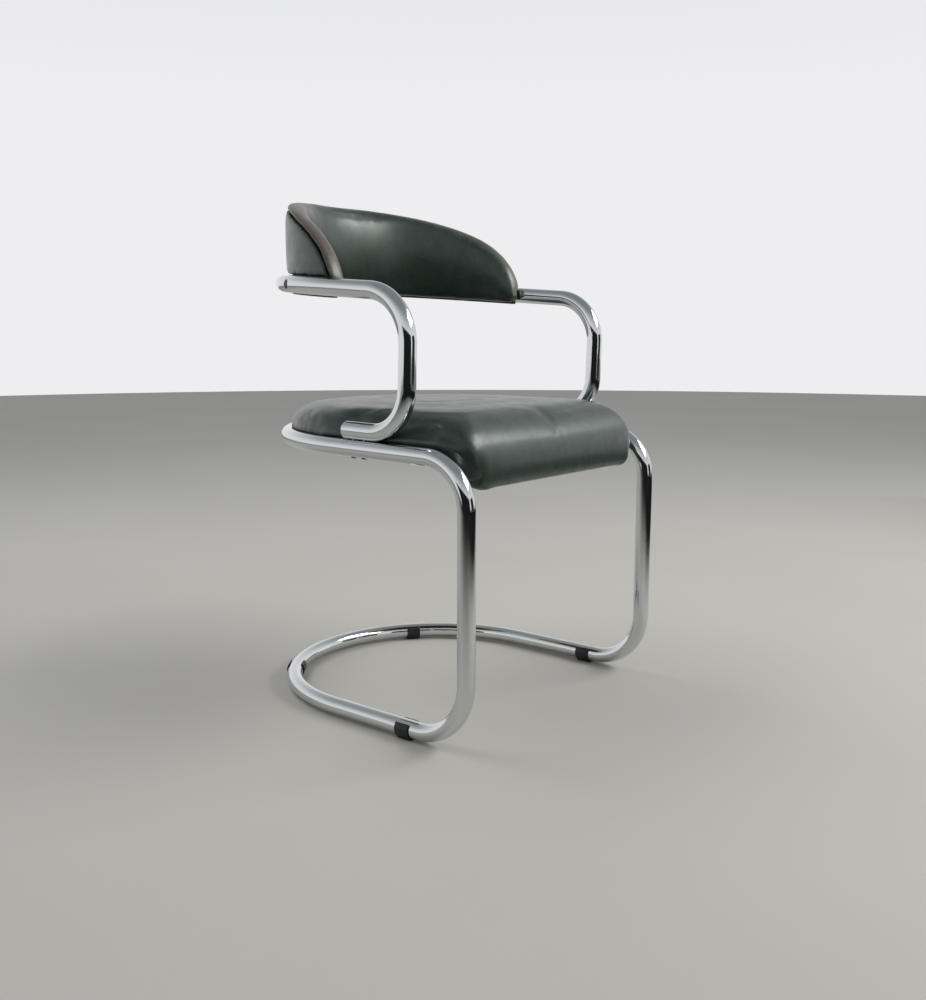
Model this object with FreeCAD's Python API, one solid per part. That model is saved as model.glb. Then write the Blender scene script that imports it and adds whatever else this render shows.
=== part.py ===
import FreeCAD, Part
import math
import os

from FreeCAD import Vector

# Cantilever tub chair: one bent tube makes the base, legs and seat ring, a second one makes
# the arms and the back rail. Millimetres, +Z up, front towards -Y, symmetric about X = 0.
# The origin is on the floor under the middle of the chair.

# Tube stock
tube_diameter = 25.0
tube_wall = 2.0
ring_radius = 232.0

# Lower frame, with depths counted back from the centre line of the legs
base_bend_radius = 84.0
seat_bend_radius = 68.0
ring_setback = 244.6
seat_rail_height = 396.0
seat_slope = 1.2

# Arm and back tube, with depths counted back from the legs
arm_bend_radius_low = 62.0
arm_bend_radius_high = 72.0
arm_setback = 104.0
arm_end_setback = 215.5
arm_lean = 6.5
arm_height = 612.0
arm_slope = 4.3
arm_ring_setback = 249.5

# Clearances
seat_gap = 0.3
bore_gap = 0.15
slip_gap = 0.3
butt_gap = 0.6
rim_gap = 0.1

# Joint sleeve inside the rear of the seat ring
sleeve_wall = 2.3
sleeve_half_length = 32.0

# Arm fixing: end caps, tapped bars, bolts
cap_thickness = 1.5
cap_spigot = 4.0
bar_length = 40.0
bar_bolt_inset = 10.0
bolt_diameter = 6.0
bolt_head_diameter = 11.0
bolt_head_height = 3.4
bolt_grip_in_bar = 12.0

# Glides clipped on the base
glide_setback = 105.0
glide_rear_angle = 38.6
glide_length = 24.5
glide_wall = 1.7
glide_pad = 2.2
glide_pad_half_width = 7.5
glide_lip_angle = 47.0
glide_bore_gap = 0.25

# Seat board, front batten, dust cover
board_drop = 6.0
board_thickness = 12.0
board_inset = 16.0
batten_thickness = 18.0
batten_end_inset = 14.0
batten_foam = 10.8
cover_thickness = 1.0
cover_margin = 2.5

# Seat cushion, with heights counted from the seat rail's centre line at the legs
cushion_inset = 2.5
cushion_taper = 3.4
cushion_front_setback = 3.5
cushion_front_corner = 32.0
cushion_edge_rise = 17.5
cushion_side_round = 47.0
cushion_side_rise = 37.5
cushion_front_round = 72.0
cushion_front_drop = 17.0
cushion_lip_drop = 44.5
cushion_lip_round = 10.0
cushion_lip_depth = 36.0
cushion_crown = 5.0
cushion_foam_front = 12.0
rim_sections = 5
crown_sections = 4
crown_reach = 0.64

# Lugs, screws and nuts under the seat
lug_thickness = 3.0
lug_width = 28.0
lug_reach = 42.0
lug_front_setback = 118.0
lug_rear_angle = 40.0
lug_hole_inset = 14.0
screw_diameter = 6.0
screw_hole_gap = 0.35
screw_head_diameter = 11.0
screw_head_height = 3.2
nut_barrel_diameter = 8.0
nut_flange_diameter = 18.0
nut_flange_thickness = 1.3
nut_depth = 9.0

# Back: plywood shell, pads, edge band. Its side outline falls forwards in three arcs of
# growing slope and turns under in a small tip, which hangs a little below the arm rail.
# The band is a padded roll along the top and the front, between the two pads.
shell_thickness = 8.0
outer_pad_thickness = 8.7
inner_pad_thickness = 16.0
inner_pad_bulge = 9.0
outer_pad_bulge = 1.2
band_thickness = 10.0
band_round = 7.5
edge_match = 0.01
back_rise = 146.8
back_top_inset = 6.6
back_tip_advance = 9.3
back_skirt = 2.5
back_slopes = (8.0, 27.0, 50.0, 83.0)
back_shoulder_radius = 164.4
back_tip_radius = 12.0
pad_sections = 10
pad_tip_flat = 0.7
outer_pad_start = 1.4
plug_diameter = 14.0
plug_gap = 0.15
back_screw_spread = 68.0

# Values worked out from the ones above; 90 degrees of a ring is its rear
REAR = 90.0
tube_radius = tube_diameter / 2
bore_radius = tube_radius - tube_wall
seat_tilt = math.radians(seat_slope)
arm_tilt = math.radians(arm_slope)
leg_y = -(arm_ring_setback + ring_radius * math.cos(arm_tilt)) / 2
base_z = tube_radius + glide_pad
ring_y = leg_y + ring_setback
seat_ring_z = seat_rail_height + ring_setback * math.tan(seat_tilt)
arm_ring_y = leg_y + arm_ring_setback
arm_corner_y = leg_y + arm_setback - arm_lean
arm_ring_z = arm_height + (arm_ring_y - arm_corner_y) * math.tan(arm_tilt)
back_top_height = arm_ring_z + back_rise
shell_outer = ring_radius * math.cos(arm_tilt) - tube_radius - seat_gap
shell_inner = shell_outer - shell_thickness
cushion_edge_height = seat_rail_height + cushion_edge_rise
cushion_front_start = seat_rail_height - cushion_front_drop
cushion_lip_bottom = seat_rail_height - cushion_lip_drop
cushion_top = cushion_edge_height + cushion_side_rise
board_under = seat_rail_height - board_drop
cushion_radius = ring_radius - cushion_inset
cover_inset = cushion_radius - ring_radius + tube_radius + lug_reach + cover_margin
back_screw_angles = (REAR - back_screw_spread, REAR, REAR + back_screw_spread)
screw_seat = math.sqrt(bore_radius ** 2 - (screw_head_diameter / 2) ** 2) - bore_gap
pad_offset = band_thickness + 2 * seat_gap
band_outer = shell_outer + seat_gap + outer_pad_thickness
band_inner = shell_inner - seat_gap - inner_pad_thickness
UP = Vector(0, 0, 1)
SIDES = (-1, 1)


def line(a, b):
    """Straight edge from a to b."""
    return Part.LineSegment(a, b).toShape()


def arc(a, middle, b):
    """Circular edge from a through middle to b."""
    return Part.Arc(a, middle, b).toShape()


def bend(before, corner, after, radius):
    """Start, middle and end of the arc that rounds a corner between two straight runs."""
    u = (before - corner).normalize()
    v = (after - corner).normalize()
    half = u.getAngle(v) / 2
    inward = (u + v).normalize()
    centre = corner + inward * (radius / math.sin(half))
    run = radius / math.tan(half)
    return corner + u * run, centre - inward * radius, corner + v * run


def ring_point(centre_y, centre_z, tilt, angle, radius):
    """Point of a horizontal or tilted ring, with 0 degrees on +X and 90 at the rear."""
    turn = math.radians(angle)
    depth = radius * math.sin(turn)
    return Vector(radius * math.cos(turn), centre_y + depth * math.cos(tilt),
                  centre_z + depth * math.sin(tilt))


def ring_arc(centre_y, centre_z, tilt, start, end, radius):
    """Edge of a ring between two angles in degrees."""
    points = [ring_point(centre_y, centre_z, tilt, a, radius)
              for a in (start, (start + end) / 2, end)]
    return arc(*points)


def mirrored(shape):
    """Copy of a shape on the other side of the chair."""
    return shape.mirror(Vector(0, 0, 0), Vector(1, 0, 0))


def side_point(y, z, side=1):
    """Point in the plane of the legs, rails and arms of one side."""
    return Vector(side * ring_radius, y, z)


def rail_z(y):
    """Height of the seat rail's centre line at a depth."""
    return seat_rail_height + (y - leg_y) * math.tan(seat_tilt)


def arm_z(y):
    """Height of the arm rail's centre line at a depth."""
    return arm_height + (y - arm_corner_y) * math.tan(arm_tilt)


def lower_half_edges():
    """Right half of the lower frame's centre line, from the rear of the seat to the rear floor."""
    gap_angle = math.degrees(math.asin(butt_gap / 2 / ring_radius))
    ring_end = side_point(ring_y, seat_ring_z)
    seat_corner = side_point(leg_y, seat_rail_height)
    base_corner = side_point(leg_y, base_z)
    base_end = side_point(ring_y, base_z)
    seat_bend = bend(ring_end, seat_corner, base_corner, seat_bend_radius)
    base_bend = bend(seat_corner, base_corner, base_end, base_bend_radius)
    return [ring_arc(ring_y, seat_ring_z, seat_tilt, REAR - gap_angle, 0, ring_radius),
            line(ring_end, seat_bend[0]),
            arc(*seat_bend),
            line(seat_bend[2], base_bend[0]),
            arc(*base_bend),
            line(base_bend[2], base_end),
            ring_arc(ring_y, base_z, 0, 0, REAR, ring_radius)]


def arm_half_edges():
    """Right half of the arm tube's centre line, from its closed end to the rear of the back."""
    lift = tube_diameter + seat_gap
    low = [side_point(leg_y + setback - lift * math.sin(seat_tilt),
                      rail_z(leg_y + setback) + lift * math.cos(seat_tilt))
           for setback in (arm_end_setback, arm_setback)]
    high = side_point(arm_corner_y, arm_height)
    ring_end = side_point(arm_ring_y, arm_ring_z)
    low_bend = bend(low[0], low[1], high, arm_bend_radius_low)
    high_bend = bend(low[1], high, ring_end, arm_bend_radius_high)
    return [line(low[0], low_bend[0]),
            arc(*low_bend),
            line(low_bend[2], high_bend[0]),
            arc(*high_bend),
            line(high_bend[2], ring_end),
            ring_arc(arm_ring_y, arm_ring_z, arm_tilt, 0, REAR, ring_radius)]


def whole_path(half):
    """Closed-up centre line made from one half and its mirror image."""
    other = [mirrored(edge) for edge in half]
    return Part.Wire(Part.__sortEdges__(half + other))


def rod(path, radius):
    """Round bar along a path."""
    first = path.OrderedEdges[0]
    start = path.OrderedVertexes[0].Point
    at_start = (start - first.valueAt(first.FirstParameter)).Length < 1e-4
    parameter = first.FirstParameter if at_start else first.LastParameter
    circle = Part.Circle(start, first.tangentAt(parameter), radius).toShape()
    return path.makePipe(Part.Face(Part.Wire(circle)))


def tube(path, outer, inner):
    """Hollow tube along a path."""
    return rod(path, outer).cut(rod(path, inner))


def cylinder(start, direction, length, radius):
    """Cylinder from a point along a direction."""
    return Part.makeCylinder(radius, length, start, direction)


def group(shapes):
    """Several separate solids as one shape."""
    return Part.makeCompound([solid for shape in shapes for solid in shape.Solids])


def tilt_with_seat(shape):
    """Turns a level shape into the plane of the seat ring."""
    turned = shape.copy()
    turned.rotate(Vector(0, leg_y, seat_rail_height), Vector(1, 0, 0), seat_slope)
    return turned


# Fixings of the arm tube to the seat rail

def bolt_axis_points(side):
    """Points on the rail's centre line where the arm bolts pass."""
    start = arm_end_setback - cap_thickness - cap_spigot
    setbacks = (start - bar_bolt_inset, start - bar_length + bar_bolt_inset)
    return [side_point(leg_y + s, rail_z(leg_y + s), side) for s in setbacks]


def bolt_direction():
    """Upwards, square to the seat rail."""
    return Vector(0, -math.sin(seat_tilt), math.cos(seat_tilt))


def rail_forward():
    """Forwards along the seat rail."""
    return Vector(0, -math.cos(seat_tilt), -math.sin(seat_tilt))


def arm_end(side):
    """Middle of the closed end of the arm tube, on top of the seat rail."""
    y = leg_y + arm_end_setback
    return side_point(y, rail_z(y), side) + bolt_direction() * (tube_diameter + seat_gap)


def arm_bolts():
    """Four bolts from under the seat rails into the tapped bars."""
    up = bolt_direction()
    length = 2 * tube_diameter + seat_gap - tube_radius + bolt_grip_in_bar - bore_radius
    bolts = []
    for side in SIDES:
        for point in bolt_axis_points(side):
            seat = point - up * (tube_radius + slip_gap / 2)
            head = cylinder(seat - up * bolt_head_height, up, bolt_head_height, bolt_head_diameter / 2)
            shank = cylinder(seat, up, length, bolt_diameter / 2)
            bolts.append(head.fuse(shank).removeSplitter())
    return group(bolts)


def bolt_holes(radius, start, length):
    """Cutters on the arm bolts' axes, from a height above the rail's centre line."""
    up = bolt_direction()
    return [cylinder(point + up * start, up, length, radius)
            for side in SIDES for point in bolt_axis_points(side)]


def arm_bars():
    """Tapped steel bars inside the ends of the arm tube."""
    lift = tube_diameter + seat_gap
    forward = rail_forward()
    inset = cap_thickness + cap_spigot + slip_gap
    bars = [cylinder(arm_end(side) + forward * inset, forward, bar_length, bore_radius - bore_gap)
            for side in SIDES]
    cutters = bolt_holes(bolt_diameter / 2 + bore_gap, lift - bore_radius, bolt_grip_in_bar + slip_gap)
    return group(bar.cut(cutters) for bar in bars)


def arm_end_caps():
    """Flat discs that close the two ends of the arm tube."""
    forward = rail_forward()
    caps = []
    for side in SIDES:
        start = arm_end(side)
        disc = cylinder(start, forward, cap_thickness, tube_radius)
        spigot = cylinder(start + forward * cap_thickness, forward, cap_spigot, bore_radius - bore_gap)
        caps.append(disc.fuse(spigot).removeSplitter())
    return group(caps)


# Frame tubes

def lower_frame_tube(path):
    """Base, legs, seat rails and seat ring in one bent tube."""
    body = tube(path, tube_radius, bore_radius)
    return body.cut(bolt_holes(bolt_diameter / 2 + screw_hole_gap, -tube_diameter, 2 * tube_diameter))


def splice_path():
    """Short centre line at the rear of the seat ring, where the lower tube's ends meet."""
    half = math.degrees(sleeve_half_length / ring_radius)
    return Part.Wire([ring_arc(ring_y, seat_ring_z, seat_tilt, REAR - half, REAR + half, ring_radius)])


def frame_splice_sleeve():
    """Sleeve inside the two ends of the lower tube."""
    outer = bore_radius - bore_gap
    return tube(splice_path(), outer, outer - sleeve_wall)


def radial_axis(angle):
    """Point on the arm ring's centre line and the level direction away from its middle."""
    point = ring_point(arm_ring_y, arm_ring_z, arm_tilt, angle, ring_radius)
    outward = Vector(point.x, point.y - arm_ring_y, 0).normalize()
    return point, outward


def arm_back_tube(wall):
    """Arms and back rail in one bent tube, drilled for the bolts and the back screws."""
    lift = tube_diameter + seat_gap
    cutters = bolt_holes(bolt_diameter / 2 + screw_hole_gap, lift - tube_radius - slip_gap, tube_radius)
    trim = [cylinder(arm_end(side) + rail_forward() * (cap_thickness + rim_gap),
                     rail_forward() * -1, tube_diameter, tube_diameter) for side in SIDES]
    for angle in back_screw_angles:
        point, outward = radial_axis(angle)
        cutters.append(cylinder(point, outward, tube_diameter, plug_diameter / 2))
        cutters.append(cylinder(point, outward * -1, tube_diameter, screw_diameter / 2 + screw_hole_gap))
    return wall.cut(cutters + trim)


def back_hole_plugs(wall):
    """Flush plugs that close the screw holes on the outside of the back rail."""
    plugs = []
    for angle in back_screw_angles:
        point, outward = radial_axis(angle)
        plugs.append(wall.common(cylinder(point, outward, tube_diameter, plug_diameter / 2 - plug_gap)))
    return group(plugs)


# Glides

def glide_profile(x, y):
    """Open clip section round the tube with a flat pad below, across the X axis at a point."""
    inner = tube_radius + glide_bore_gap
    outer = inner + glide_wall
    lip = math.radians(glide_lip_angle)
    pad_top = -math.sqrt(outer ** 2 - glide_pad_half_width ** 2)

    def at(u, w):
        return Vector(x + u, y, base_z + w)

    right_outer = at(outer * math.sin(lip), outer * math.cos(lip))
    left_outer = at(-outer * math.sin(lip), outer * math.cos(lip))
    right_inner = at(inner * math.sin(lip), inner * math.cos(lip))
    left_inner = at(-inner * math.sin(lip), inner * math.cos(lip))
    pad = glide_pad_half_width
    edges = [arc(right_outer, at(outer, 0), at(pad, pad_top)),
             line(at(pad, pad_top), at(pad, -base_z)),
             line(at(pad, -base_z), at(-pad, -base_z)),
             line(at(-pad, -base_z), at(-pad, pad_top)),
             arc(at(-pad, pad_top), at(-outer, 0), left_outer),
             line(left_outer, left_inner),
             arc(left_inner, at(-inner, 0), at(0, -inner)),
             arc(at(0, -inner), at(inner, 0), right_inner),
             line(right_inner, right_outer)]
    return Part.Face(Part.Wire(edges))


def front_glide(side):
    """Glide on a straight rail of the base."""
    start = leg_y + glide_setback - glide_length / 2
    return glide_profile(side * ring_radius, start).extrude(Vector(0, glide_length, 0))


def rear_glide(side):
    """Glide on the curved rear of the base."""
    sweep = math.degrees(glide_length / ring_radius)
    start = REAR - glide_rear_angle - sweep / 2
    piece = glide_profile(ring_radius, ring_y).revolve(Vector(0, ring_y, 0), UP, sweep)
    piece.rotate(Vector(0, ring_y, 0), UP, start)
    return piece if side > 0 else mirrored(piece)


# Seat

def seat_outline(z, inset, front_inset, angle=0.0):
    """Horseshoe outline of the seat at a height, drawn in by two insets."""
    radius = cushion_radius - inset
    taper = math.radians(cushion_taper)
    front = leg_y + cushion_front_setback + front_inset
    tangent = Vector(radius * math.cos(taper), ring_y - radius * math.sin(taper), z)
    along = Vector(-math.sin(taper), -math.cos(taper), 0)
    corner = tangent + along * ((tangent.y - front) / math.cos(taper))
    start, middle, end = bend(tangent, corner, Vector(0, front, z), cushion_front_corner)
    rear = Vector(0, ring_y + radius, z)
    swing = math.radians((REAR - cushion_taper) / 2)
    shoulder = Vector(radius * math.cos(swing), ring_y + radius * math.sin(swing), z)
    flip = [Vector(-p.x, p.y, p.z) for p in (tangent, start, middle, end, shoulder)]
    edges = [arc(rear, shoulder, tangent),
             line(tangent, start),
             arc(start, middle, end),
             line(end, flip[3]),
             arc(flip[3], flip[2], flip[1]),
             line(flip[1], flip[0]),
             arc(flip[0], flip[4], rear)]
    wire = Part.Wire(edges)
    wire.rotate(Vector(0, leg_y, seat_rail_height), Vector(1, 0, 0), angle)
    return wire


def front_round(z):
    """How far the rounded front of the cushion lies behind its foremost line at a height."""
    share = min(1.0, max(0.0, (z - cushion_front_start) / (cushion_top - cushion_front_start)))
    return cushion_front_round * (1 - math.sqrt(1 - share ** 2))


def cushion_levels():
    """Height, side inset and front inset of each section of the cushion, from the bottom up."""
    levels = []
    for turn in (0, 45, 90):
        inset = cushion_lip_round * (1 - math.sin(math.radians(turn)))
        z = cushion_lip_bottom + cushion_lip_round * (1 - math.cos(math.radians(turn)))
        levels.append((z, inset, inset))
    levels.append((cushion_front_start, 0.0, 0.0))
    for step in range(rim_sections):
        angle = math.pi / 2 * step / rim_sections
        z = cushion_edge_height + cushion_side_rise * math.sin(angle)
        levels.append((z, cushion_side_round * (1 - math.cos(angle)), front_round(z)))
    half = cushion_radius - cushion_side_round
    for step in range(crown_sections):
        share = crown_reach * (step + 1) / crown_sections
        rise = cushion_crown * (1 - (1 - share) ** 2)
        levels.append((cushion_top + rise, cushion_side_round + half * share,
                       cushion_front_round + half * share))
    return levels


def seat_cushion(frame_rod, arm_rod, board_space):
    """Crowned seat cushion with a rounded front that hangs over the front batten."""
    sections = []
    for z, inset, front_inset in cushion_levels():
        lean = seat_slope * max(0.0, (cushion_top - z) / (cushion_top - cushion_lip_bottom))
        sections.append(seat_outline(z, inset, front_inset, lean))
    body = Part.makeLoft(sections, True, False)
    below = Part.makeBox(4 * ring_radius, 4 * ring_radius, board_under + seat_gap,
                         Vector(-2 * ring_radius, leg_y + cushion_front_setback + cushion_lip_depth, 0))
    reliefs = [cylinder(arm_end(side), rail_forward() * -1, seat_gap, tube_radius + seat_gap)
               for side in SIDES]
    reliefs.append(rod(splice_path(), tube_radius + seat_gap))
    return body.cut([tilt_with_seat(below), frame_rod, arm_rod, board_space] + reliefs)


def board_solid(extra, depth):
    """Seat board outline as a plate, grown by a clearance and lengthened downwards."""
    outline = seat_outline(board_under - depth, board_inset - extra, cushion_foam_front - extra)
    plate = Part.Face(outline).extrude(UP * (board_thickness + depth + extra))
    return tilt_with_seat(plate)


def seat_board():
    """Plywood board that carries the cushion, drilled for the seat screws and nuts."""
    holes = []
    for point in lug_screw_points(board_under):
        holes.append(tilt_with_seat(cylinder(point, UP, board_thickness, nut_barrel_diameter / 2 + bore_gap)))
        rim = point + UP * (board_thickness - nut_flange_thickness - rim_gap)
        holes.append(tilt_with_seat(cylinder(rim, UP, board_thickness, nut_flange_diameter / 2 + slip_gap)))
    return board_solid(0.0, 0.0).cut(holes)


def batten_box(extra):
    """Front batten under the board, grown by a clearance."""
    bottom = cushion_lip_bottom + batten_foam
    half = cushion_radius - board_inset - cushion_front_corner - batten_end_inset
    start = leg_y + cushion_front_setback + cushion_foam_front
    return Part.makeBox(2 * (half + extra), batten_thickness + 2 * extra, board_under - bottom + extra,
                        Vector(-half - extra, start - extra, bottom - extra))


def seat_front_batten():
    """Wooden batten that stiffens the front edge of the board."""
    return tilt_with_seat(batten_box(0.0))


def seat_dust_cover():
    """Thin cloth closing the underside of the board behind the batten."""
    z = board_under - seat_gap - cover_thickness
    outline = seat_outline(z, cover_inset, cushion_lip_depth + 2 * cushion_lip_round)
    return tilt_with_seat(Part.Face(outline).extrude(UP * cover_thickness))


def lug_frames():
    """Inner-side point on each lug's line at the tube and its direction towards the seat."""
    places = []
    for side in SIDES:
        places.append((Vector(side * ring_radius, leg_y + lug_front_setback, 0), Vector(-side, 0, 0)))
        angle = math.radians(REAR - lug_rear_angle)
        outward = Vector(side * math.cos(angle), math.sin(angle), 0)
        places.append((Vector(0, ring_y, 0) + outward * ring_radius, outward * -1))
    return places


def lug_screw_points(z):
    """Screw positions of the lugs at a height, before the seat's slope is applied."""
    reach = tube_radius + lug_reach - lug_hole_inset
    return [Vector(0, 0, z) + point + inward * reach for point, inward in lug_frames()]


def seat_lugs(frame_rod):
    """Four steel lugs on the inside of the seat ring that carry the board."""
    lugs = []
    holes = lug_screw_points(board_under - 2 * lug_thickness)
    for (point, inward), hole in zip(lug_frames(), holes):
        across = Vector(-inward.y, inward.x, 0)
        base = Vector(0, 0, board_under - lug_thickness) + point
        corners = [base - across * (lug_width / 2),
                   base + across * (lug_width / 2),
                   base + across * (lug_width / 2) + inward * (tube_radius + lug_reach),
                   base - across * (lug_width / 2) + inward * (tube_radius + lug_reach)]
        plate = Part.Face(Part.makePolygon(corners + corners[:1])).extrude(UP * lug_thickness)
        bore = cylinder(hole, UP, 4 * lug_thickness, screw_diameter / 2 + screw_hole_gap)
        lugs.append(tilt_with_seat(plate.cut(bore)).cut(frame_rod))
    return group(lugs)


def seat_screws():
    """Screws from below through the lugs into the nuts in the board."""
    screws = []
    for point in lug_screw_points(board_under - lug_thickness):
        head = cylinder(point - UP * screw_head_height, UP, screw_head_height, screw_head_diameter / 2)
        shank = cylinder(point, UP, lug_thickness + nut_depth, screw_diameter / 2)
        screws.append(tilt_with_seat(head.fuse(shank).removeSplitter()))
    return group(screws)


def seat_nuts():
    """Flanged nuts set in the top of the board."""
    top = board_under + board_thickness - rim_gap
    nuts = []
    for point in lug_screw_points(top):
        flange = cylinder(point - UP * nut_flange_thickness, UP, nut_flange_thickness,
                          nut_flange_diameter / 2)
        barrel = cylinder(point - UP * nut_depth, UP, nut_depth, nut_barrel_diameter / 2)
        bore = cylinder(point - UP * nut_depth, UP, nut_depth, screw_diameter / 2 + bore_gap / 2)
        nuts.append(tilt_with_seat(flange.fuse(barrel).removeSplitter().cut(bore)))
    return group(nuts)


# Back

def back_radii():
    """Radii of the side outline's arcs: the first and third make it meet its two ends."""
    turns = [math.radians(slope) for slope in back_slopes]
    falls = [math.cos(a) - math.cos(b) for a, b in zip(turns, turns[1:])]
    runs = [math.sin(b) - math.sin(a) for a, b in zip(turns, turns[1:])]
    tip_y = arm_ring_y - back_tip_advance
    low_y = tip_y + back_tip_radius * (1 + math.sin(arm_tilt))
    low_z = arm_z(low_y) - tube_radius / math.cos(arm_tilt) - back_skirt
    fall = back_top_height - low_z - back_shoulder_radius * falls[1]
    fall -= back_tip_radius * (math.cos(turns[-1]) + math.cos(arm_tilt))
    run = ring_radius - back_top_inset + back_tip_advance - back_shoulder_radius * runs[1]
    run -= back_tip_radius * (1 - math.sin(turns[-1]))
    spread = falls[0] * runs[2] - falls[2] * runs[0]
    upper = (fall * runs[2] - run * falls[2]) / spread
    front = (run * falls[0] - fall * runs[0]) / spread
    return upper, back_shoulder_radius, front, back_tip_radius


def back_arcs(offset):
    """Arcs of the back's side outline: centre depth, centre height, radius, start, end."""
    y = arm_ring_y + ring_radius - back_top_inset
    z = back_top_height
    arcs = []
    slopes = [math.radians(slope) for slope in back_slopes + (180 + arm_slope,)]
    for first, last, radius in zip(slopes, slopes[1:], back_radii()):
        cy = y + radius * math.sin(first)
        cz = z - radius * math.cos(first)
        arcs.append((cy, cz, radius - offset, first, last))
        y = cy - radius * math.sin(last)
        z = cz + radius * math.cos(last)
    return arcs


def on_back_arc(item, angle, x=0.0):
    """Point of one arc of the side outline."""
    cy, cz, radius = item[:3]
    return Vector(x, cy - radius * math.sin(angle), cz + radius * math.cos(angle))


def back_block(offset, straight_front):
    """The side outline drawn in by an offset, as a block across the whole width.

    With a straight front the block runs down from its foremost line, without the turned tip.
    """
    x = -2 * ring_radius
    arcs = back_arcs(offset)
    if straight_front:
        arcs[-1] = arcs[-1][:4] + (math.pi / 2,)
    edges = [arc(*[on_back_arc(item, angle, x) for angle in (item[3], (item[3] + item[4]) / 2, item[4])])
             for item in arcs]
    top = on_back_arc(arcs[0], arcs[0][3], x)
    end = on_back_arc(arcs[-1], arcs[-1][4], x)
    rear = arm_ring_y + 2 * ring_radius
    rear_top = Vector(x, rear, top.z + (rear - top.y) * math.tan(arcs[0][3]))
    if straight_front:
        low = [Vector(x, end.y, 0), Vector(x, rear, 0)]
    else:
        low = [Vector(x, rear, end.z + (rear - end.y) * math.tan(arm_tilt))]
    corners = [end] + low + [rear_top, top]
    edges += [line(a, b) for a, b in zip(corners, corners[1:])]
    wire = Part.Wire(Part.__sortEdges__(edges))
    return Part.Face(wire).extrude(Vector(4 * ring_radius, 0, 0))


def back_core():
    """Side block of the shell and the pads, inside the roll of the edge band."""
    return back_block(0.0, False).common(back_block(pad_offset, True))


def back_top_z(y, offset):
    """Height of the back's top edge at a depth."""
    arcs = back_arcs(offset)
    for cy, cz, radius, first, last in arcs:
        share = (cy - y) / radius
        if share < math.sin(first) and cy == arcs[0][0]:
            top = on_back_arc(arcs[0], first)
            return top.z + (y - top.y) * math.tan(first)
        if share <= math.sin(min(last, math.pi / 2)):
            return cz + radius * math.sqrt(1 - share ** 2)
    return arcs[-1][1]


def back_low_z(y):
    """Height of the back's lower edge at a depth."""
    tip = back_arcs(0.0)[-1]
    cy, cz, radius, _, last = tip
    low = on_back_arc(tip, last)
    if y >= low.y:
        return low.z + (y - low.y) * math.tan(arm_tilt)
    share = min(1.0, (cy - y) / radius)
    return cz - radius * math.sqrt(1 - share ** 2)


def back_wall(outer, inner):
    """Upright round wall about the axis of the arm ring."""
    base = Vector(0, arm_ring_y, arm_height / 2)
    return cylinder(base, UP, arm_height, outer).cut(cylinder(base, UP, arm_height, inner))


def back_shell():
    """Curved plywood shell inside the back rail, drilled for its nuts."""
    shell = back_wall(shell_outer, shell_inner).common(back_core())
    holes = []
    for angle in back_screw_angles:
        point, outward = radial_axis(angle)
        start = Vector(0, arm_ring_y, point.z)
        holes.append(cylinder(start, outward, ring_radius, nut_barrel_diameter / 2 + bore_gap))
        rim = shell_inner + nut_flange_thickness + rim_gap
        holes.append(cylinder(start, outward, rim, nut_flange_diameter / 2 + slip_gap))
    return shell.cut(holes)


def back_screws():
    """Screws inside the back rail that pull the shell against it."""
    screws = []
    for angle in back_screw_angles:
        point, outward = radial_axis(angle)
        seat = point - outward * screw_seat
        head = cylinder(seat, outward, screw_head_height, screw_head_diameter / 2)
        length = (seat - Vector(0, arm_ring_y, point.z)).Length - shell_inner - nut_flange_thickness
        shank = cylinder(seat, outward * -1, length, screw_diameter / 2)
        screws.append(head.fuse(shank).removeSplitter())
    return group(screws)


def back_nuts():
    """Flanged nuts set in the inner face of the shell."""
    nuts = []
    for angle in back_screw_angles:
        point, outward = radial_axis(angle)
        start = Vector(0, arm_ring_y, point.z) + outward * (shell_inner + rim_gap)
        flange = cylinder(start, outward, nut_flange_thickness, nut_flange_diameter / 2)
        barrel = cylinder(start, outward, shell_thickness - seat_gap, nut_barrel_diameter / 2)
        bore = cylinder(start, outward, shell_thickness, screw_diameter / 2 + bore_gap / 2)
        nuts.append(flange.fuse(barrel).removeSplitter().cut(bore))
    return group(nuts)


def around(radius, angle, z):
    """Point on the upright wall at an angle and a height."""
    turn = math.radians(angle)
    return Vector(radius * math.cos(turn), arm_ring_y + radius * math.sin(turn), z)


def pad_angles(lowest):
    """Angles of a back pad's sections, closer together towards the two front tips."""
    half = [lowest + (REAR - lowest) * (step / pad_sections) ** 2 for step in range(pad_sections)]
    return half + [REAR] + [2 * REAR - angle for angle in reversed(half)]


def pad_depth(radius, angle):
    """Depth of a point of the upright wall."""
    return arm_ring_y + radius * math.sin(math.radians(angle))


def inner_pad_section(angle, outer, inner, offset, full_height):
    """Section of the inner pad: flat on the shell, crowned towards the sitter."""
    def heights(radius):
        y = pad_depth(radius, angle)
        return back_low_z(y), back_top_z(y, offset)

    low_out, top_out = heights(outer)
    low_in, top_in = heights(inner)
    swell = inner_pad_bulge * (top_in - low_in) / full_height
    a = around(outer, angle, low_out)
    b = around(outer, angle, top_out)
    c = around(inner, angle, top_in)
    d = around(inner, angle, low_in)
    belly = around(inner - swell, angle, (top_in + low_in) / 2)
    return Part.Wire([line(a, b), line(b, c), arc(c, belly, d), line(d, a)])


def back_inner_pad():
    """Padded inner face of the back."""
    outer = shell_inner - seat_gap
    lowest = -math.degrees(math.asin((arm_ring_y - back_front_y(pad_offset) - pad_tip_flat) / band_inner))
    rear = pad_depth(band_inner, REAR)
    full_height = back_top_z(rear, pad_offset) - back_low_z(rear)
    sections = [inner_pad_section(angle, outer, band_inner, pad_offset, full_height)
                for angle in pad_angles(lowest)]
    return Part.makeLoft(sections, True, False)


def back_front_y(offset):
    """Foremost depth of the back's side outline."""
    cy, _, radius = back_arcs(offset)[-1][:3]
    return cy - radius


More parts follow.
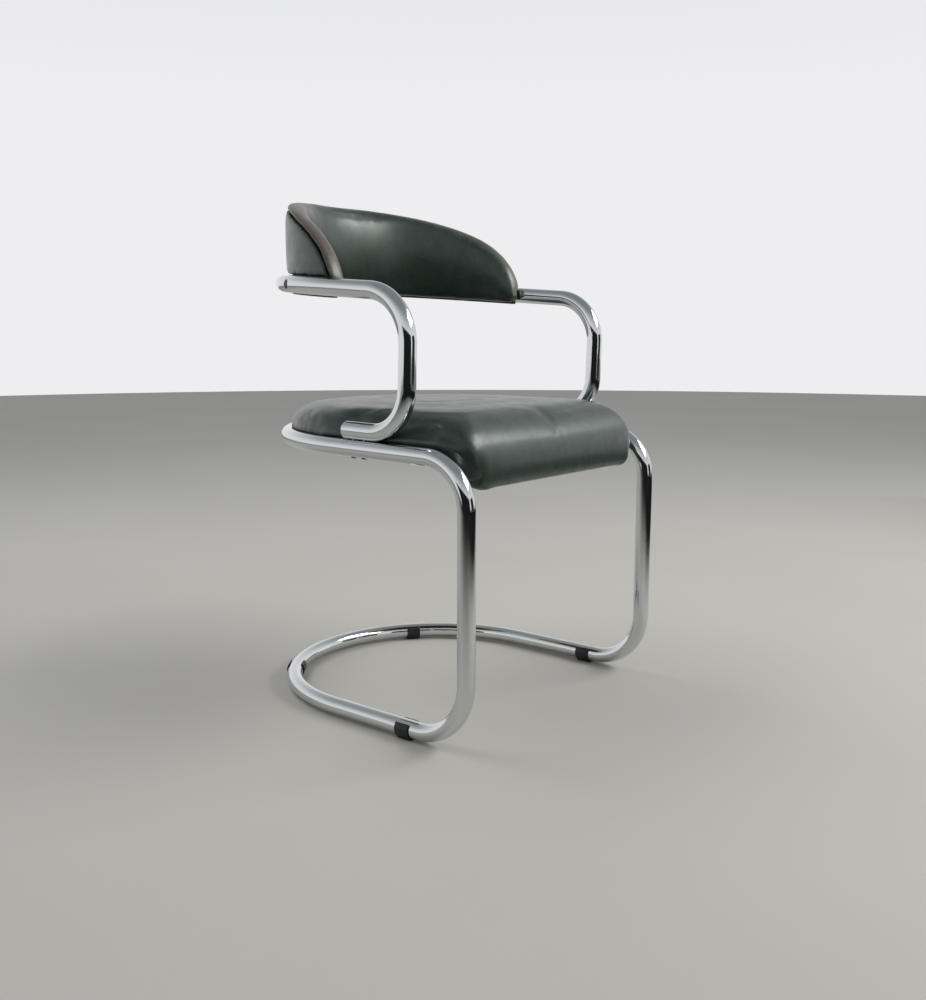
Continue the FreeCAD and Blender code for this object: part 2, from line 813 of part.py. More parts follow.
def outer_pad_section(angle, inner, outer, offset):
    """Section of the outer pad: it stands on the back rail and swells slightly outwards."""
    rail = ring_point(arm_ring_y, arm_ring_z, arm_tilt, angle, ring_radius)
    low = rail.z + tube_radius + seat_gap
    top_in = back_top_z(pad_depth(inner, angle), offset)
    top_out = back_top_z(pad_depth(outer, angle), offset)
    a = around(inner, angle, low)
    b = around(outer - outer_pad_bulge, angle, low)
    c = around(outer - outer_pad_bulge, angle, top_out)
    d = around(inner, angle, top_in)
    belly = around(outer, angle, (low + top_out) / 2)
    return Part.Wire([line(a, b), arc(b, belly, c), line(c, d), line(d, a)])


def back_outer_pad():
    """Thin pad on the outside of the back, above the rail."""
    inner = shell_outer + seat_gap
    sections = [outer_pad_section(angle, inner, band_outer, pad_offset)
                for angle in pad_angles(outer_pad_start)]
    return Part.makeLoft(sections, True, False)


def band_crest(strip):
    """Edges of the band where its outer face meets the two round walls."""
    crest = []
    for edge in strip.Edges:
        points = edge.discretize(5)
        radii = [math.hypot(p.x, p.y - arm_ring_y) for p in points]
        on_wall = any(all(abs(r - wall) < edge_match for r in radii)
                      for wall in (band_outer, band_inner))
        on_outline = all(abs(p.z - back_top_z(p.y, 0.0)) < edge_match
                         or abs(p.z - back_low_z(p.y)) < edge_match for p in points)
        if on_wall and on_outline:
            crest.append(edge)
    return crest


def back_edge_band():
    """Padded roll with rounded shoulders along the top and front edges of the back."""
    edge = back_block(0.0, False).cut(back_block(band_thickness, True))
    strip = back_wall(band_outer, band_inner).common(edge).removeSplitter()
    roll = strip.makeFillet(band_round, band_crest(strip))
    clear = 2 * band_outer
    y = arm_ring_y - clear
    z = arm_z(y) + tube_radius / math.cos(arm_tilt) + seat_gap
    top = z + 2 * clear * math.tan(arm_tilt)
    corners = [Vector(-clear, y, 0), Vector(-clear, y, z), Vector(-clear, y + 2 * clear, top),
               Vector(-clear, y + 2 * clear, 0)]
    below = Part.Face(Part.makePolygon(corners + corners[:1])).extrude(Vector(2 * clear, 0, 0))
    return roll.cut(back_wall(2 * band_outer, shell_outer).common(below))


def build():
    """Makes every piece of the chair under its name."""
    lower_path = whole_path(lower_half_edges())
    arm_path = whole_path(arm_half_edges())
    lower_rod = rod(lower_path, tube_radius + seat_gap)
    arm_rod = rod(arm_path, tube_radius + seat_gap)
    arm_wall = tube(arm_path, tube_radius, bore_radius)
    board_space = board_solid(seat_gap, board_thickness).fuse(tilt_with_seat(batten_box(seat_gap)))
    pieces = {
        "lower_frame_tube": lower_frame_tube(lower_path),
        "frame_splice_sleeve": frame_splice_sleeve(),
        "arm_back_tube": arm_back_tube(arm_wall),
        "arm_end_caps": arm_end_caps(),
        "arm_tapped_bars": arm_bars(),
        "arm_bolts": arm_bolts(),
        "seat_lugs": seat_lugs(lower_rod),
        "seat_screws": seat_screws(),
        "seat_nuts": seat_nuts(),
        "seat_board": seat_board(),
        "seat_front_batten": seat_front_batten(),
        "seat_dust_cover": seat_dust_cover(),
        "seat_cushion": seat_cushion(lower_rod, arm_rod, board_space),
        "back_shell": back_shell(),
        "back_inner_pad": back_inner_pad(),
        "back_outer_pad": back_outer_pad(),
        "back_edge_band": back_edge_band(),
        "back_screws": back_screws(),
        "back_nuts": back_nuts(),
        "back_hole_plugs": back_hole_plugs(arm_wall),
    }
    for side, name in zip(SIDES, ("right", "left")):
        pieces["front_glide_" + name] = front_glide(side)
        pieces["rear_glide_" + name] = rear_glide(side)
    return pieces


def main():
    """Writes one file for each piece."""
    os.makedirs("parts", exist_ok=True)
    for name, shape in build().items():
        box = shape.BoundBox
        print(name, len(shape.Solids), "solids", shape.isValid(), round(shape.Volume), "mm3",
              [round(v, 1) for v in (box.XMin, box.XMax, box.YMin, box.YMax, box.ZMin, box.ZMax)])
        shape.exportStep("parts/" + name + ".step")


main()
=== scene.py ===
import logging
import math
from collections.abc import Callable, Iterator
from contextlib import contextmanager
from dataclasses import dataclass, field
from enum import Enum

import bmesh
import bpy
import numpy as np
from mathutils import Matrix, Vector


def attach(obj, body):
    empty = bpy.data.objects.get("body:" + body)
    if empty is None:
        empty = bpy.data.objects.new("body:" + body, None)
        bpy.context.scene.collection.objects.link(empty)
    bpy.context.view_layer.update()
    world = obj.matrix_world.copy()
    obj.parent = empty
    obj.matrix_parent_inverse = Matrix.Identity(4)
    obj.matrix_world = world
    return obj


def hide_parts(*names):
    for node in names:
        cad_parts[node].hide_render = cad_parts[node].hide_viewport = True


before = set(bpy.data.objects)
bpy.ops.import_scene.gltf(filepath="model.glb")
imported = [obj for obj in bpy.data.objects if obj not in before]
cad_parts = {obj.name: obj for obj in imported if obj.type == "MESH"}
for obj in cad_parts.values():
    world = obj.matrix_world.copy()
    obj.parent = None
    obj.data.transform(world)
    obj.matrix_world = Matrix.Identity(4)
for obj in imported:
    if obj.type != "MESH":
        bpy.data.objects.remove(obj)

# A cantilever tub chair: two bent and chromed tubes, a round-backed seat cushion and a curved
# padded back. Lengths in the fields below are millimetres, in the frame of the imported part:
# +Z up, front towards -Y, the floor at zero and the chair symmetric about X = 0.

MM = 0.001
TUBE_DIAMETER = 25.0
BACK_CENTRE_Y = 9.08
# the sockets of a mix node that take and give colours
MIX_FIRST, MIX_SECOND, MIX_RESULT = 6, 7, 2
LOG = logging.getLogger("chair")


class Side(Enum):
    """The two sides of the chair, as the sitter names them."""

    RIGHT = -1
    LEFT = 1


class Shading(Enum):
    """How a finished mesh is shaded."""

    ROUND = 180.0
    EDGED = 35.0


class Ply(Enum):
    """How the layers of a wooden piece run."""

    FLAT = "a flat board"
    CURVED = "bent round the back rail"
    SOLID = "solid wood"


# Small tools

def linear(code: str) -> tuple[float, float, float, float]:
    """Turns an sRGB hex colour into linear light.

    Args:
        code: six hex digits, red first.

    Returns:
        Red, green, blue and an alpha of one.
    """
    parts = []
    for start in (0, 2, 4):
        value = int(code[start:start + 2], 16) / 255
        parts.append(value / 12.92 if value <= 0.04045 else ((value + 0.055) / 1.055) ** 2.4)
    return (*parts, 1.0)


def add(tree: bpy.types.NodeTree, kind: str, feeds: dict | None = None, values: dict | None = None,
        **settings) -> bpy.types.Node:
    """Adds one node with its settings, socket values and links.

    Args:
        tree: the tree it goes in.
        kind: the node's type, without the common first part of its name.
        feeds: the output that each linked input takes, by the input's name or number.
        values: fixed values of inputs, by name or number.
        settings: properties of the node itself.

    Returns:
        The new node.
    """
    node = tree.nodes.new("ShaderNode" + kind)
    for name, value in settings.items():
        setattr(node, name, value)
    for key, value in (values or {}).items():
        node.inputs[key].default_value = value
    for key, source in (feeds or {}).items():
        tree.links.new(source, node.inputs[key])
    return node


def start_material(name: str) -> tuple[bpy.types.Material, bpy.types.NodeTree, bpy.types.Node]:
    """Makes a material and returns it with its node tree and its surface shader."""
    material = bpy.data.materials.new(name)
    material.use_nodes = True
    return material, material.node_tree, material.node_tree.nodes["Principled BSDF"]


def noise(tree: bpy.types.NodeTree, spots: bpy.types.NodeSocket, size: float,
          detail: float = 2.0, roughness: float = 0.5) -> bpy.types.NodeSocket:
    """Adds a cloudy noise.

    Args:
        tree: the tree it goes in.
        spots: the coordinates.
        size: the size of its clouds, in millimetres.
        detail: how many finer layers it has.
        roughness: how strong they are.

    Returns:
        The noise, about 0.5 in the middle.
    """
    return add(tree, "TexNoise", {"Vector": spots},
               {"Scale": 1 / (size * MM), "Detail": detail, "Roughness": roughness}).outputs["Fac"]


def ranged(tree: bpy.types.NodeTree, value: bpy.types.NodeSocket, low: float, high: float,
           start: float = 0.0, end: float = 1.0) -> bpy.types.NodeSocket:
    """Turns a value that runs from low to high into one from start to end, held at both."""
    return add(tree, "MapRange", {"Value": value}, {"From Min": low, "From Max": high,
                                                    "To Min": start, "To Max": end}
               ).outputs["Result"]


def blend(tree: bpy.types.NodeTree, share: bpy.types.NodeSocket,
          first: str | bpy.types.NodeSocket,
          second: str | bpy.types.NodeSocket) -> bpy.types.NodeSocket:
    """Mixes two colours.

    Args:
        tree: the tree it goes in.
        share: how far the mix is on its way from the first to the second.
        first: the first colour, as a hex code or a node's output.
        second: the second colour, likewise.

    Returns:
        The mixed colour.
    """
    feeds, values = {"Factor": share}, {}
    for key, colour in ((MIX_FIRST, first), (MIX_SECOND, second)):
        if isinstance(colour, str):
            values[key] = linear(colour)
        else:
            feeds[key] = colour
    return add(tree, "Mix", feeds, values, data_type="RGBA").outputs[MIX_RESULT]


def point(x: float, y: float, z: float) -> Vector:
    """A place given in millimetres, in metres."""
    return Vector((x, y, z)) * MM


def smooth_step(value: np.ndarray, low: float, high: float) -> np.ndarray:
    """Eased share of the way from low to high, from 0 to 1."""
    share = np.clip((value - low) / (high - low), 0.0, 1.0)
    return share * share * (3 - 2 * share)


def foot_on(spots: np.ndarray, a: np.ndarray, b: np.ndarray) -> tuple[np.ndarray, np.ndarray]:
    """The places nearest to points on the line from a to b, and how far along it they are."""
    along = b - a
    share = np.clip((spots - a) @ along / (along @ along), 0.0, 1.0)
    return a + share[:, None] * along, share


def select_only(obj: bpy.types.Object) -> None:
    """Makes one object the only selected and the active one."""
    bpy.ops.object.select_all(action="DESELECT")
    obj.select_set(True)
    bpy.context.view_layer.objects.active = obj


def start_piece(name: str) -> bpy.types.Object:
    """Names the primitive just added, puts its place in its mesh and returns it."""
    obj = bpy.context.active_object
    obj.name = name
    obj.data.name = name
    select_only(obj)
    bpy.ops.object.transform_apply(location=True, rotation=True, scale=True)
    return obj


def apply_modifier(obj: bpy.types.Object, kind: str, **settings) -> None:
    """Adds a modifier with its settings and applies it at once.

    Args:
        obj: the object to change.
        kind: the modifier's type.
        settings: the modifier's own properties.
    """
    select_only(obj)
    modifier = obj.modifiers.new(kind.lower(), kind)
    for name, value in settings.items():
        setattr(modifier, name, value)
    bpy.ops.object.modifier_apply(modifier=modifier.name)


@contextmanager
def whole_mesh(obj: bpy.types.Object) -> Iterator[None]:
    """Edit mode on an object with its whole mesh selected, and object mode again after it."""
    select_only(obj)
    bpy.ops.object.mode_set(mode="EDIT")
    bpy.ops.mesh.select_all(action="SELECT")
    yield
    bpy.ops.object.mode_set(mode="OBJECT")


def settle_mesh(obj: bpy.types.Object, shading: Shading, merge: float = 0.02) -> None:
    """Merges doubled points, turns the faces outwards and sets the shading.

    Args:
        obj: the object to settle.
        shading: round all over, or with its sharp edges kept.
        merge: the distance in millimetres within which points are one.
    """
    with whole_mesh(obj):
        bpy.ops.mesh.remove_doubles(threshold=merge * MM)
        bpy.ops.mesh.normals_make_consistent(inside=False)
    if shading is Shading.ROUND:
        bpy.ops.object.shade_smooth()
    else:
        bpy.ops.object.shade_smooth_by_angle(angle=math.radians(shading.value))


def node_copy(names: tuple[str, ...], name: str) -> bpy.types.Object:
    """Copies one or more nodes of the frame into a new object with a mesh of its own.

    Args:
        names: the nodes to copy.
        name: the new object's name.

    Returns:
        The new object, with its doubled points merged.
    """
    copies = []
    for node in names:
        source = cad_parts[node]
        copy = bpy.data.objects.new(name, source.data.copy())
        bpy.context.scene.collection.objects.link(copy)
        copy.data.transform(source.matrix_world)
        copies.append(copy)
    bpy.ops.object.select_all(action="DESELECT")
    for copy in copies:
        copy.select_set(True)
    bpy.context.view_layer.objects.active = copies[0]
    if len(copies) > 1:
        bpy.ops.object.join()
    obj = copies[0]
    obj.name = name
    obj.data.name = name
    obj.data.materials.clear()
    with whole_mesh(obj):
        bpy.ops.mesh.remove_doubles(threshold=0.01 * MM)
    return obj


def softened_copy(node: str, name: str, width: float) -> bpy.types.Object:
    """Copies a node, joins its flat triangles and breaks its sharp edges.

    Args:
        node: the node to copy.
        name: the new object's name.
        width: the width of the bevel, in millimetres.

    Returns:
        The new object.
    """
    obj = node_copy((node,), name)
    with whole_mesh(obj):
        bpy.ops.mesh.dissolve_limited(angle_limit=math.radians(1.0))
    apply_modifier(obj, "BEVEL", width=width * MM, segments=2, limit_method="ANGLE",
                   angle_limit=math.radians(40), use_clamp_overlap=True)
    settle_mesh(obj, Shading.EDGED)
    return obj


def select_faces(obj: bpy.types.Object, wanted: Callable[[Vector, Vector], bool]) -> None:
    """Selects faces in edit mode by their place and direction.

    Args:
        obj: the object in edit mode.
        wanted: says whether to take a face with this middle, in millimetres, and this normal.
    """
    bpy.ops.mesh.select_all(action="DESELECT")
    bpy.ops.mesh.select_mode(type="FACE")
    mesh = bmesh.from_edit_mesh(obj.data)
    for face in mesh.faces:
        face.select_set(wanted(face.calc_center_median() / MM, face.normal))
    bmesh.update_edit_mesh(obj.data)


def pose_at(place: Vector, up: Vector, along: Vector) -> Matrix:
    """The matrix that stands a model on a place, with its Z along up and its X near along."""
    across = up.cross(along).normalized()
    rows = Matrix((across.cross(up), across, up)).transposed()
    return Matrix.Translation(place) @ rows.to_4x4()


def copies_of(model: bpy.types.Object, poses: list[Matrix], name: str) -> bpy.types.Object:
    """Puts a copy of a model at each pose and joins them into one object.

    Args:
        model: the model at the origin, which is used up.
        poses: where each copy goes.
        name: the new object's name.

    Returns:
        The joined object.
    """
    bpy.ops.object.select_all(action="DESELECT")
    for pose in poses:
        mesh = model.data.copy()
        mesh.transform(pose)
        copy = bpy.data.objects.new(name, mesh)
        bpy.context.scene.collection.objects.link(copy)
        copy.select_set(True)
        bpy.context.view_layer.objects.active = copy
    bpy.ops.object.join()
    bpy.data.objects.remove(model)
    obj = bpy.context.active_object
    obj.name = name
    obj.data.name = name
    return obj


def places(obj: bpy.types.Object) -> np.ndarray:
    """The mesh's points in millimetres, one row each."""
    flat = np.empty(3 * len(obj.data.vertices), dtype=np.float32)
    obj.data.vertices.foreach_get("co", flat)
    return flat.reshape(-1, 3).astype(float) / MM


def directions(obj: bpy.types.Object) -> np.ndarray:
    """The mesh's outward directions at its points, one row each."""
    flat = np.empty(3 * len(obj.data.vertices), dtype=np.float32)
    obj.data.vertices.foreach_get("normal", flat)
    return flat.reshape(-1, 3).astype(float)


def move_points(obj: bpy.types.Object, spots: np.ndarray) -> None:
    """Puts the mesh's points at new places given in millimetres."""
    obj.data.vertices.foreach_set("co", (spots * MM).astype(np.float32).ravel())
    obj.data.update()


def set_measure(obj: bpy.types.Object, name: str, values: np.ndarray) -> None:
    """Keeps one number for each point of the mesh, for its material to read."""
    layer = obj.data.attributes.new(name, "FLOAT", "POINT")
    layer.data.foreach_set("value", values.astype(np.float32))


def hand_over(obj: bpy.types.Object, nodes: tuple[str, ...],
              material: bpy.types.Material) -> None:
    """Finishes a piece: its material, its body and the nodes it stands for.

    Args:
        obj: the finished piece.
        nodes: the nodes of the frame that it replaces.
        material: its material.
    """
    obj.data.materials.clear()
    obj.data.materials.append(material)
    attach(obj, "root")
    if nodes:
        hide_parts(*nodes)
    LOG.info("%s: %d faces, stands for %s", obj.name, len(obj.data.polygons), ", ".join(nodes))


def dress_node(node: str, material: bpy.types.Material) -> None:
    """Gives a node of the frame that stays a procedural material."""
    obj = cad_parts[node]
    for place in obj.material_slots:
        place.link = "OBJECT"
        place.material = material
    if not obj.material_slots:
        obj.data.materials.append(material)
    LOG.info("%s: kept, %s", node, material.name)


# Finishes

@dataclass(frozen=True)
class PolishedChrome:
    """Bright chromium plate on polished steel tube, buffed to a mirror.

    The plate reflects the room sharply. Years of use leave it a little hazy in patches, with
    fine pits where damp has reached the steel.
    """

    name: str = "polished_chrome_plate"
    tint: str = "d9dcdd"
    pit_colour: str = "5c5650"
    gloss: float = 0.055
    haze: float = 0.1
    haze_width: float = 45.0
    pit_spacing: float = 4.5
    pit_share: float = 0.1

    def build(self) -> bpy.types.Material:
        """Makes the material.

        Returns:
            The chrome.
        """
        material, tree, shader = start_material(self.name)
        shader.inputs["Metallic"].default_value = 1.0
        spots = add(tree, "TexCoord").outputs["Object"]
        haze = noise(tree, spots, self.haze_width, 3.0, 0.6)
        gloss = ranged(tree, haze, 0.35, 0.75, self.gloss, self.haze)
        # a pit every few millimetres, kept only where a broad noise says the plate has suffered
        pits = add(tree, "TexVoronoi", {"Vector": spots}, {"Scale": 1 / (self.pit_spacing * MM)})
        core = ranged(tree, pits.outputs["Distance"], self.pit_share, 0.0)
        suffered = noise(tree, spots, 90, 2.0)
        kept = ranged(tree, suffered, 0.52, 0.66, 0.0, 0.8)
        share = add(tree, "Math", {0: core, 1: kept},
                    operation="MULTIPLY")
        colour = blend(tree, share.outputs[0], self.tint, self.pit_colour)
        rough = add(tree, "Math", {0: share.outputs[0], 2: gloss}, {1: 0.35},
                    operation="MULTIPLY_ADD")
        tree.links.new(colour, shader.inputs["Base Color"])
        tree.links.new(rough.outputs[0], shader.inputs["Roughness"])
        return material


@dataclass(frozen=True)
class ZincPlate:
    """Zinc-plated steel of screws, nuts and bars: dull grey with a fine crystalline flicker."""

    name: str = "zinc_plated_steel"
    tint: str = "a9acac"
    dark: str = "8a8d8e"
    roughness: float = 0.38
    flake: float = 1.6

    def build(self) -> bpy.types.Material:
        """Makes the material.

        Returns:
            The plated steel.
        """
        material, tree, shader = start_material(self.name)
        shader.inputs["Metallic"].default_value = 1.0
        spots = add(tree, "TexCoord").outputs["Object"]
        flakes = add(tree, "TexVoronoi", {"Vector": spots}, {"Scale": 1 / (self.flake * MM)})
        mix = blend(tree, flakes.outputs["Color"], self.tint, self.dark)
        rough = ranged(tree, flakes.outputs["Distance"], 0.0, 1.0, self.roughness - 0.06,
                       self.roughness + 0.08)
        tree.links.new(mix, shader.inputs["Base Color"])
        tree.links.new(rough, shader.inputs["Roughness"])
        return material


@dataclass(frozen=True)
class LeatherclothVinyl:
    """Vinyl-coated upholstery cloth, embossed with a fine leather grain and lightly lacquered.

    The embossing is a network of pebbles a millimetre or two across. The lacquer gives a soft
    grey-green sheen where light grazes it. Where the edges are rubbed, the colour coat has gone
    brown and cracked, which the points' own measure called wear says.
    """

    name: str
    base: str = "25352d"
    deep: str = "131c18"
    bloom: str = "40514a"
    worn: str = "4a3c32"
    bare: str = "6f5f53"
    crack: str = "211b17"
    roughness: float = 0.43
    grain: float = 1.5
    grain_depth: float = 0.12
    mottle: float = 24.0

    def build(self) -> bpy.types.Material:
        """Makes the material.

        Returns:
            The vinyl.
        """
        material, tree, shader = start_material(self.name)
        shader.inputs["IOR"].default_value = 1.52
        shader.inputs["Specular Tint"].default_value = linear("dff2e6")
        shader.inputs["Coat Weight"].default_value = 0.65
        shader.inputs["Coat Roughness"].default_value = 0.3
        spots = add(tree, "TexCoord").outputs["Object"]
        # colour: broad clouds, then fine flecks
        clouds = noise(tree, spots, self.mottle, 5.0, 0.62)
        cloud = ranged(tree, clouds, 0.32, 0.68)
        green = blend(tree, cloud, self.deep, self.base)
        flecks = noise(tree, spots, 2.2, 4.0)
        fleck = ranged(tree, flecks, 0.5, 0.78, 0.0, 0.55)
        skin = blend(tree, fleck, green, self.bloom)
        # wear: the points' measure, broken up by a noise so its border is ragged
        wear = add(tree, "Attribute", attribute_name="wear")
        ragged = noise(tree, spots, 9, 6.0, 0.7)
        border = add(tree, "Math", {0: ragged}, {1: 1.1, 2: -0.55},
                     operation="MULTIPLY_ADD")
        total = add(tree, "Math", {0: wear.outputs["Fac"], 1: border.outputs[0]}, operation="ADD")
        rubbed = ranged(tree, total.outputs[0], 0.3, 0.72)
        brown = blend(tree, flecks, self.worn, self.bare)
        faded = blend(tree, rubbed, skin, brown)
        cells = add(tree, "TexVoronoi", {"Vector": spots}, {"Scale": 1 / (4.2 * MM)},
                    feature="DISTANCE_TO_EDGE")
        split = ranged(tree, cells.outputs["Distance"], 0.07, 0.0)
        broken = ranged(tree, ragged, 0.5, 0.62)
        cracks = add(tree, "Math", {0: split, 1: broken},
                     operation="MULTIPLY")
        worn_cracks = add(tree, "Math", {0: cracks.outputs[0], 1: rubbed},
                          operation="MULTIPLY")
        colour = blend(tree, worn_cracks.outputs[0], faded, self.crack)
        # gloss: duller in the valleys of the clouds and where it is rubbed through
        sheen = ranged(tree, clouds, 0.3, 0.7, self.roughness + 0.09,
                       self.roughness - 0.09)
        rough = add(tree, "Math", {0: rubbed, 2: sheen},
                    {1: 0.1}, operation="MULTIPLY_ADD")
        # relief: pebbles of the embossing, and the cracks in the worn places
        bent = add(tree, "TexNoise", {"Vector": spots}, {"Scale": 1 / (3 * MM), "Detail": 2.0})
        shifted = add(tree, "VectorMath", {0: bent.outputs["Color"], 2: spots},
                      {1: (0.0008, 0.0008, 0.0008)}, operation="MULTIPLY_ADD")
        pebbles = add(tree, "TexVoronoi", {"Vector": shifted.outputs[0]},
                      {"Scale": 1 / (self.grain * MM), "Smoothness": 0.6}, feature="SMOOTH_F1")
        height = add(tree, "Math", {0: worn_cracks.outputs[0], 2: pebbles.outputs["Distance"]},
                     {1: 1.5}, operation="MULTIPLY_ADD")
        relief = add(tree, "Bump", {"Height": height.outputs[0]},
                     {"Strength": 0.5, "Distance": self.grain_depth * MM}, invert=True)
        tree.links.new(colour, shader.inputs["Base Color"])
        tree.links.new(rough.outputs[0], shader.inputs["Roughness"])
        tree.links.new(relief.outputs["Normal"], shader.inputs["Normal"])
        return material


@dataclass(frozen=True)
class Timber:
    """Wood of the hidden parts: birch plywood with thin plies on its cut edge, or a sawn batten.

    Its face shows long rotary-cut figure, and a cut edge the light and dark plies.
    """

    name: str
    run: Ply
    light: str = "cdb48c"
    dark: str = "9c7c52"
    ply: float = 1.5
    figure: float = 3.0
    ring_y: float = BACK_CENTRE_Y

    def build(self) -> bpy.types.Material:
        """Makes the material.

        Returns:
            The wood.
        """
        material, tree, shader = start_material(self.name)
        shader.inputs["IOR"].default_value = 1.45
        shader.inputs["Roughness"].default_value = 0.62
        coords = add(tree, "TexCoord")
        spots = coords.outputs["Object"]
        stretch = (0.06, 1.0, 1.0) if self.run is Ply.SOLID else (1.0, 0.06, 1.0)
        drawn = add(tree, "Mapping", {"Vector": spots}, {"Scale": stretch})
        grain = noise(tree, drawn.outputs[0], self.figure, 6.0, 0.65)
        share = ranged(tree, grain, 0.3, 0.75)
        if self.run is not Ply.SOLID:
            share = self.with_plies(tree, coords, share)
        colour = blend(tree, share, self.light, self.dark)
        relief = add(tree, "Bump", {"Height": grain},
                     {"Strength": 0.3, "Distance": 0.1 * MM})
        tree.links.new(colour, shader.inputs["Base Color"])
        tree.links.new(relief.outputs["Normal"], shader.inputs["Normal"])
        return material

    def with_plies(self, tree: bpy.types.NodeTree, coords: bpy.types.Node,
                   face: bpy.types.NodeSocket) -> bpy.types.NodeSocket:
        """Adds the plies on the cut edges.

        Args:
            tree: the material's tree.
            coords: its coordinates.
            face: the figure of the face.

        Returns:
            The face's figure with the plies where the wood is cut.
        """
        centred = add(tree, "Mapping", {"Vector": coords.outputs["Object"]},
                      {"Location": (0.0, -self.ring_y * MM, 0.0), "Scale": (1.0, 1.0, 0.0)})
        height = add(tree, "SeparateXYZ", {"Vector": coords.outputs["Object"]}).outputs["Z"]
        if self.run is Ply.CURVED:
            height = add(tree, "VectorMath", {0: centred.outputs[0]},
                         operation="LENGTH").outputs["Value"]
        turns = add(tree, "Math", {0: height}, {1: math.pi / (self.ply * MM)}, operation="MULTIPLY")
        wave = add(tree, "Math", {0: turns.outputs[0]}, operation="SINE")
        layers = ranged(tree, wave.outputs[0], -0.25, 0.25)
        facing = add(tree, "SeparateXYZ", {"Vector": coords.outputs["Normal"]})
        upright = add(tree, "Math", {0: facing.outputs["Z"]}, operation="ABSOLUTE")
        cut = (0.6, 0.8) if self.run is Ply.CURVED else (0.8, 0.6)
        is_cut = ranged(tree, upright.outputs[0], cut[0], cut[1])
        return add(tree, "Mix", {"Factor": is_cut, 2: face, 3: layers}).outputs[0]


@dataclass(frozen=True)
class MouldedPlastic:
    """Injection-moulded black polypropylene: near black, satin, with a faint moulded texture."""

    name: str = "moulded_black_polypropylene"
    colour: str = "17181a"
    scuffed: str = "3a3a3b"
    roughness: float = 0.42
    texture: float = 0.8

    def build(self) -> bpy.types.Material:
        """Makes the material.

        Returns:
            The plastic.
        """
        material, tree, shader = start_material(self.name)
        shader.inputs["IOR"].default_value = 1.49
        spots = add(tree, "TexCoord").outputs["Object"]
        scuffs = noise(tree, spots, 7, 6.0, 0.7)
        share = ranged(tree, scuffs, 0.52, 0.75, 0.0, 0.6)
        colour = blend(tree, share, self.colour, self.scuffed)
        rough = ranged(tree, scuffs, 0.0, 1.0, self.roughness - 0.1,
                       self.roughness + 0.14)
        spark = noise(tree, spots, self.texture)
        relief = add(tree, "Bump", {"Height": spark},
                     {"Strength": 0.35, "Distance": 0.05 * MM})
        tree.links.new(colour, shader.inputs["Base Color"])
        tree.links.new(rough, shader.inputs["Roughness"])
        tree.links.new(relief.outputs["Normal"], shader.inputs["Normal"])
        return material


@dataclass(frozen=True)
class BondedCloth:
    """Black non-woven cloth under a seat: matt felted fibres, bonded in a grid of small dots."""

    name: str = "bonded_black_dust_cloth"
    colour: str = "202021"
    fibre: str = "38383a"
    dot_spacing: float = 3.0

    def build(self) -> bpy.types.Material:
        """Makes the material.

        Returns:
            The cloth.
        """
        material, tree, shader = start_material(self.name)
        shader.inputs["Roughness"].default_value = 0.92
        shader.inputs["Sheen Weight"].default_value = 0.25
        spots = add(tree, "TexCoord").outputs["Object"]
        fibres = add(tree, "TexNoise", {"Vector": spots},
                     {"Scale": 1 / (1.2 * MM), "Detail": 5.0, "Distortion": 1.5})
        colour = blend(tree, fibres.outputs["Fac"], self.colour, self.fibre)
        dots = add(tree, "TexVoronoi", {"Vector": spots},
                   {"Scale": 1 / (self.dot_spacing * MM), "Randomness": 0.0})
        height = add(tree, "Math", {0: dots.outputs["Distance"], 1: fibres.outputs["Fac"]},
                     operation="ADD")
        relief = add(tree, "Bump", {"Height": height.outputs[0]},
                     {"Strength": 0.6, "Distance": 0.25 * MM})
        tree.links.new(colour, shader.inputs["Base Color"])
        tree.links.new(relief.outputs["Normal"], shader.inputs["Normal"])
        return material


@dataclass(frozen=True)
class StudioFloor:
    """Pale matt studio floor with the faintest cloudiness."""

    name: str = "pale_floor_paint"
    light: str = "c4c1ba"
    shade: str = "bab7b0"

    def build(self) -> bpy.types.Material:
        """Makes the material.

        Returns:
            The floor's paint.
        """
        material, tree, shader = start_material(self.name)
        shader.inputs["Roughness"].default_value = 0.75
        spots = add(tree, "TexCoord").outputs["Object"]
        clouds = add(tree, "TexNoise", {"Vector": spots}, {"Scale": 1.4, "Detail": 3.0})
        colour = blend(tree, clouds.outputs["Fac"], self.light, self.shade)
        tree.links.new(colour, shader.inputs["Base Color"])
        return material


# Bent tubes

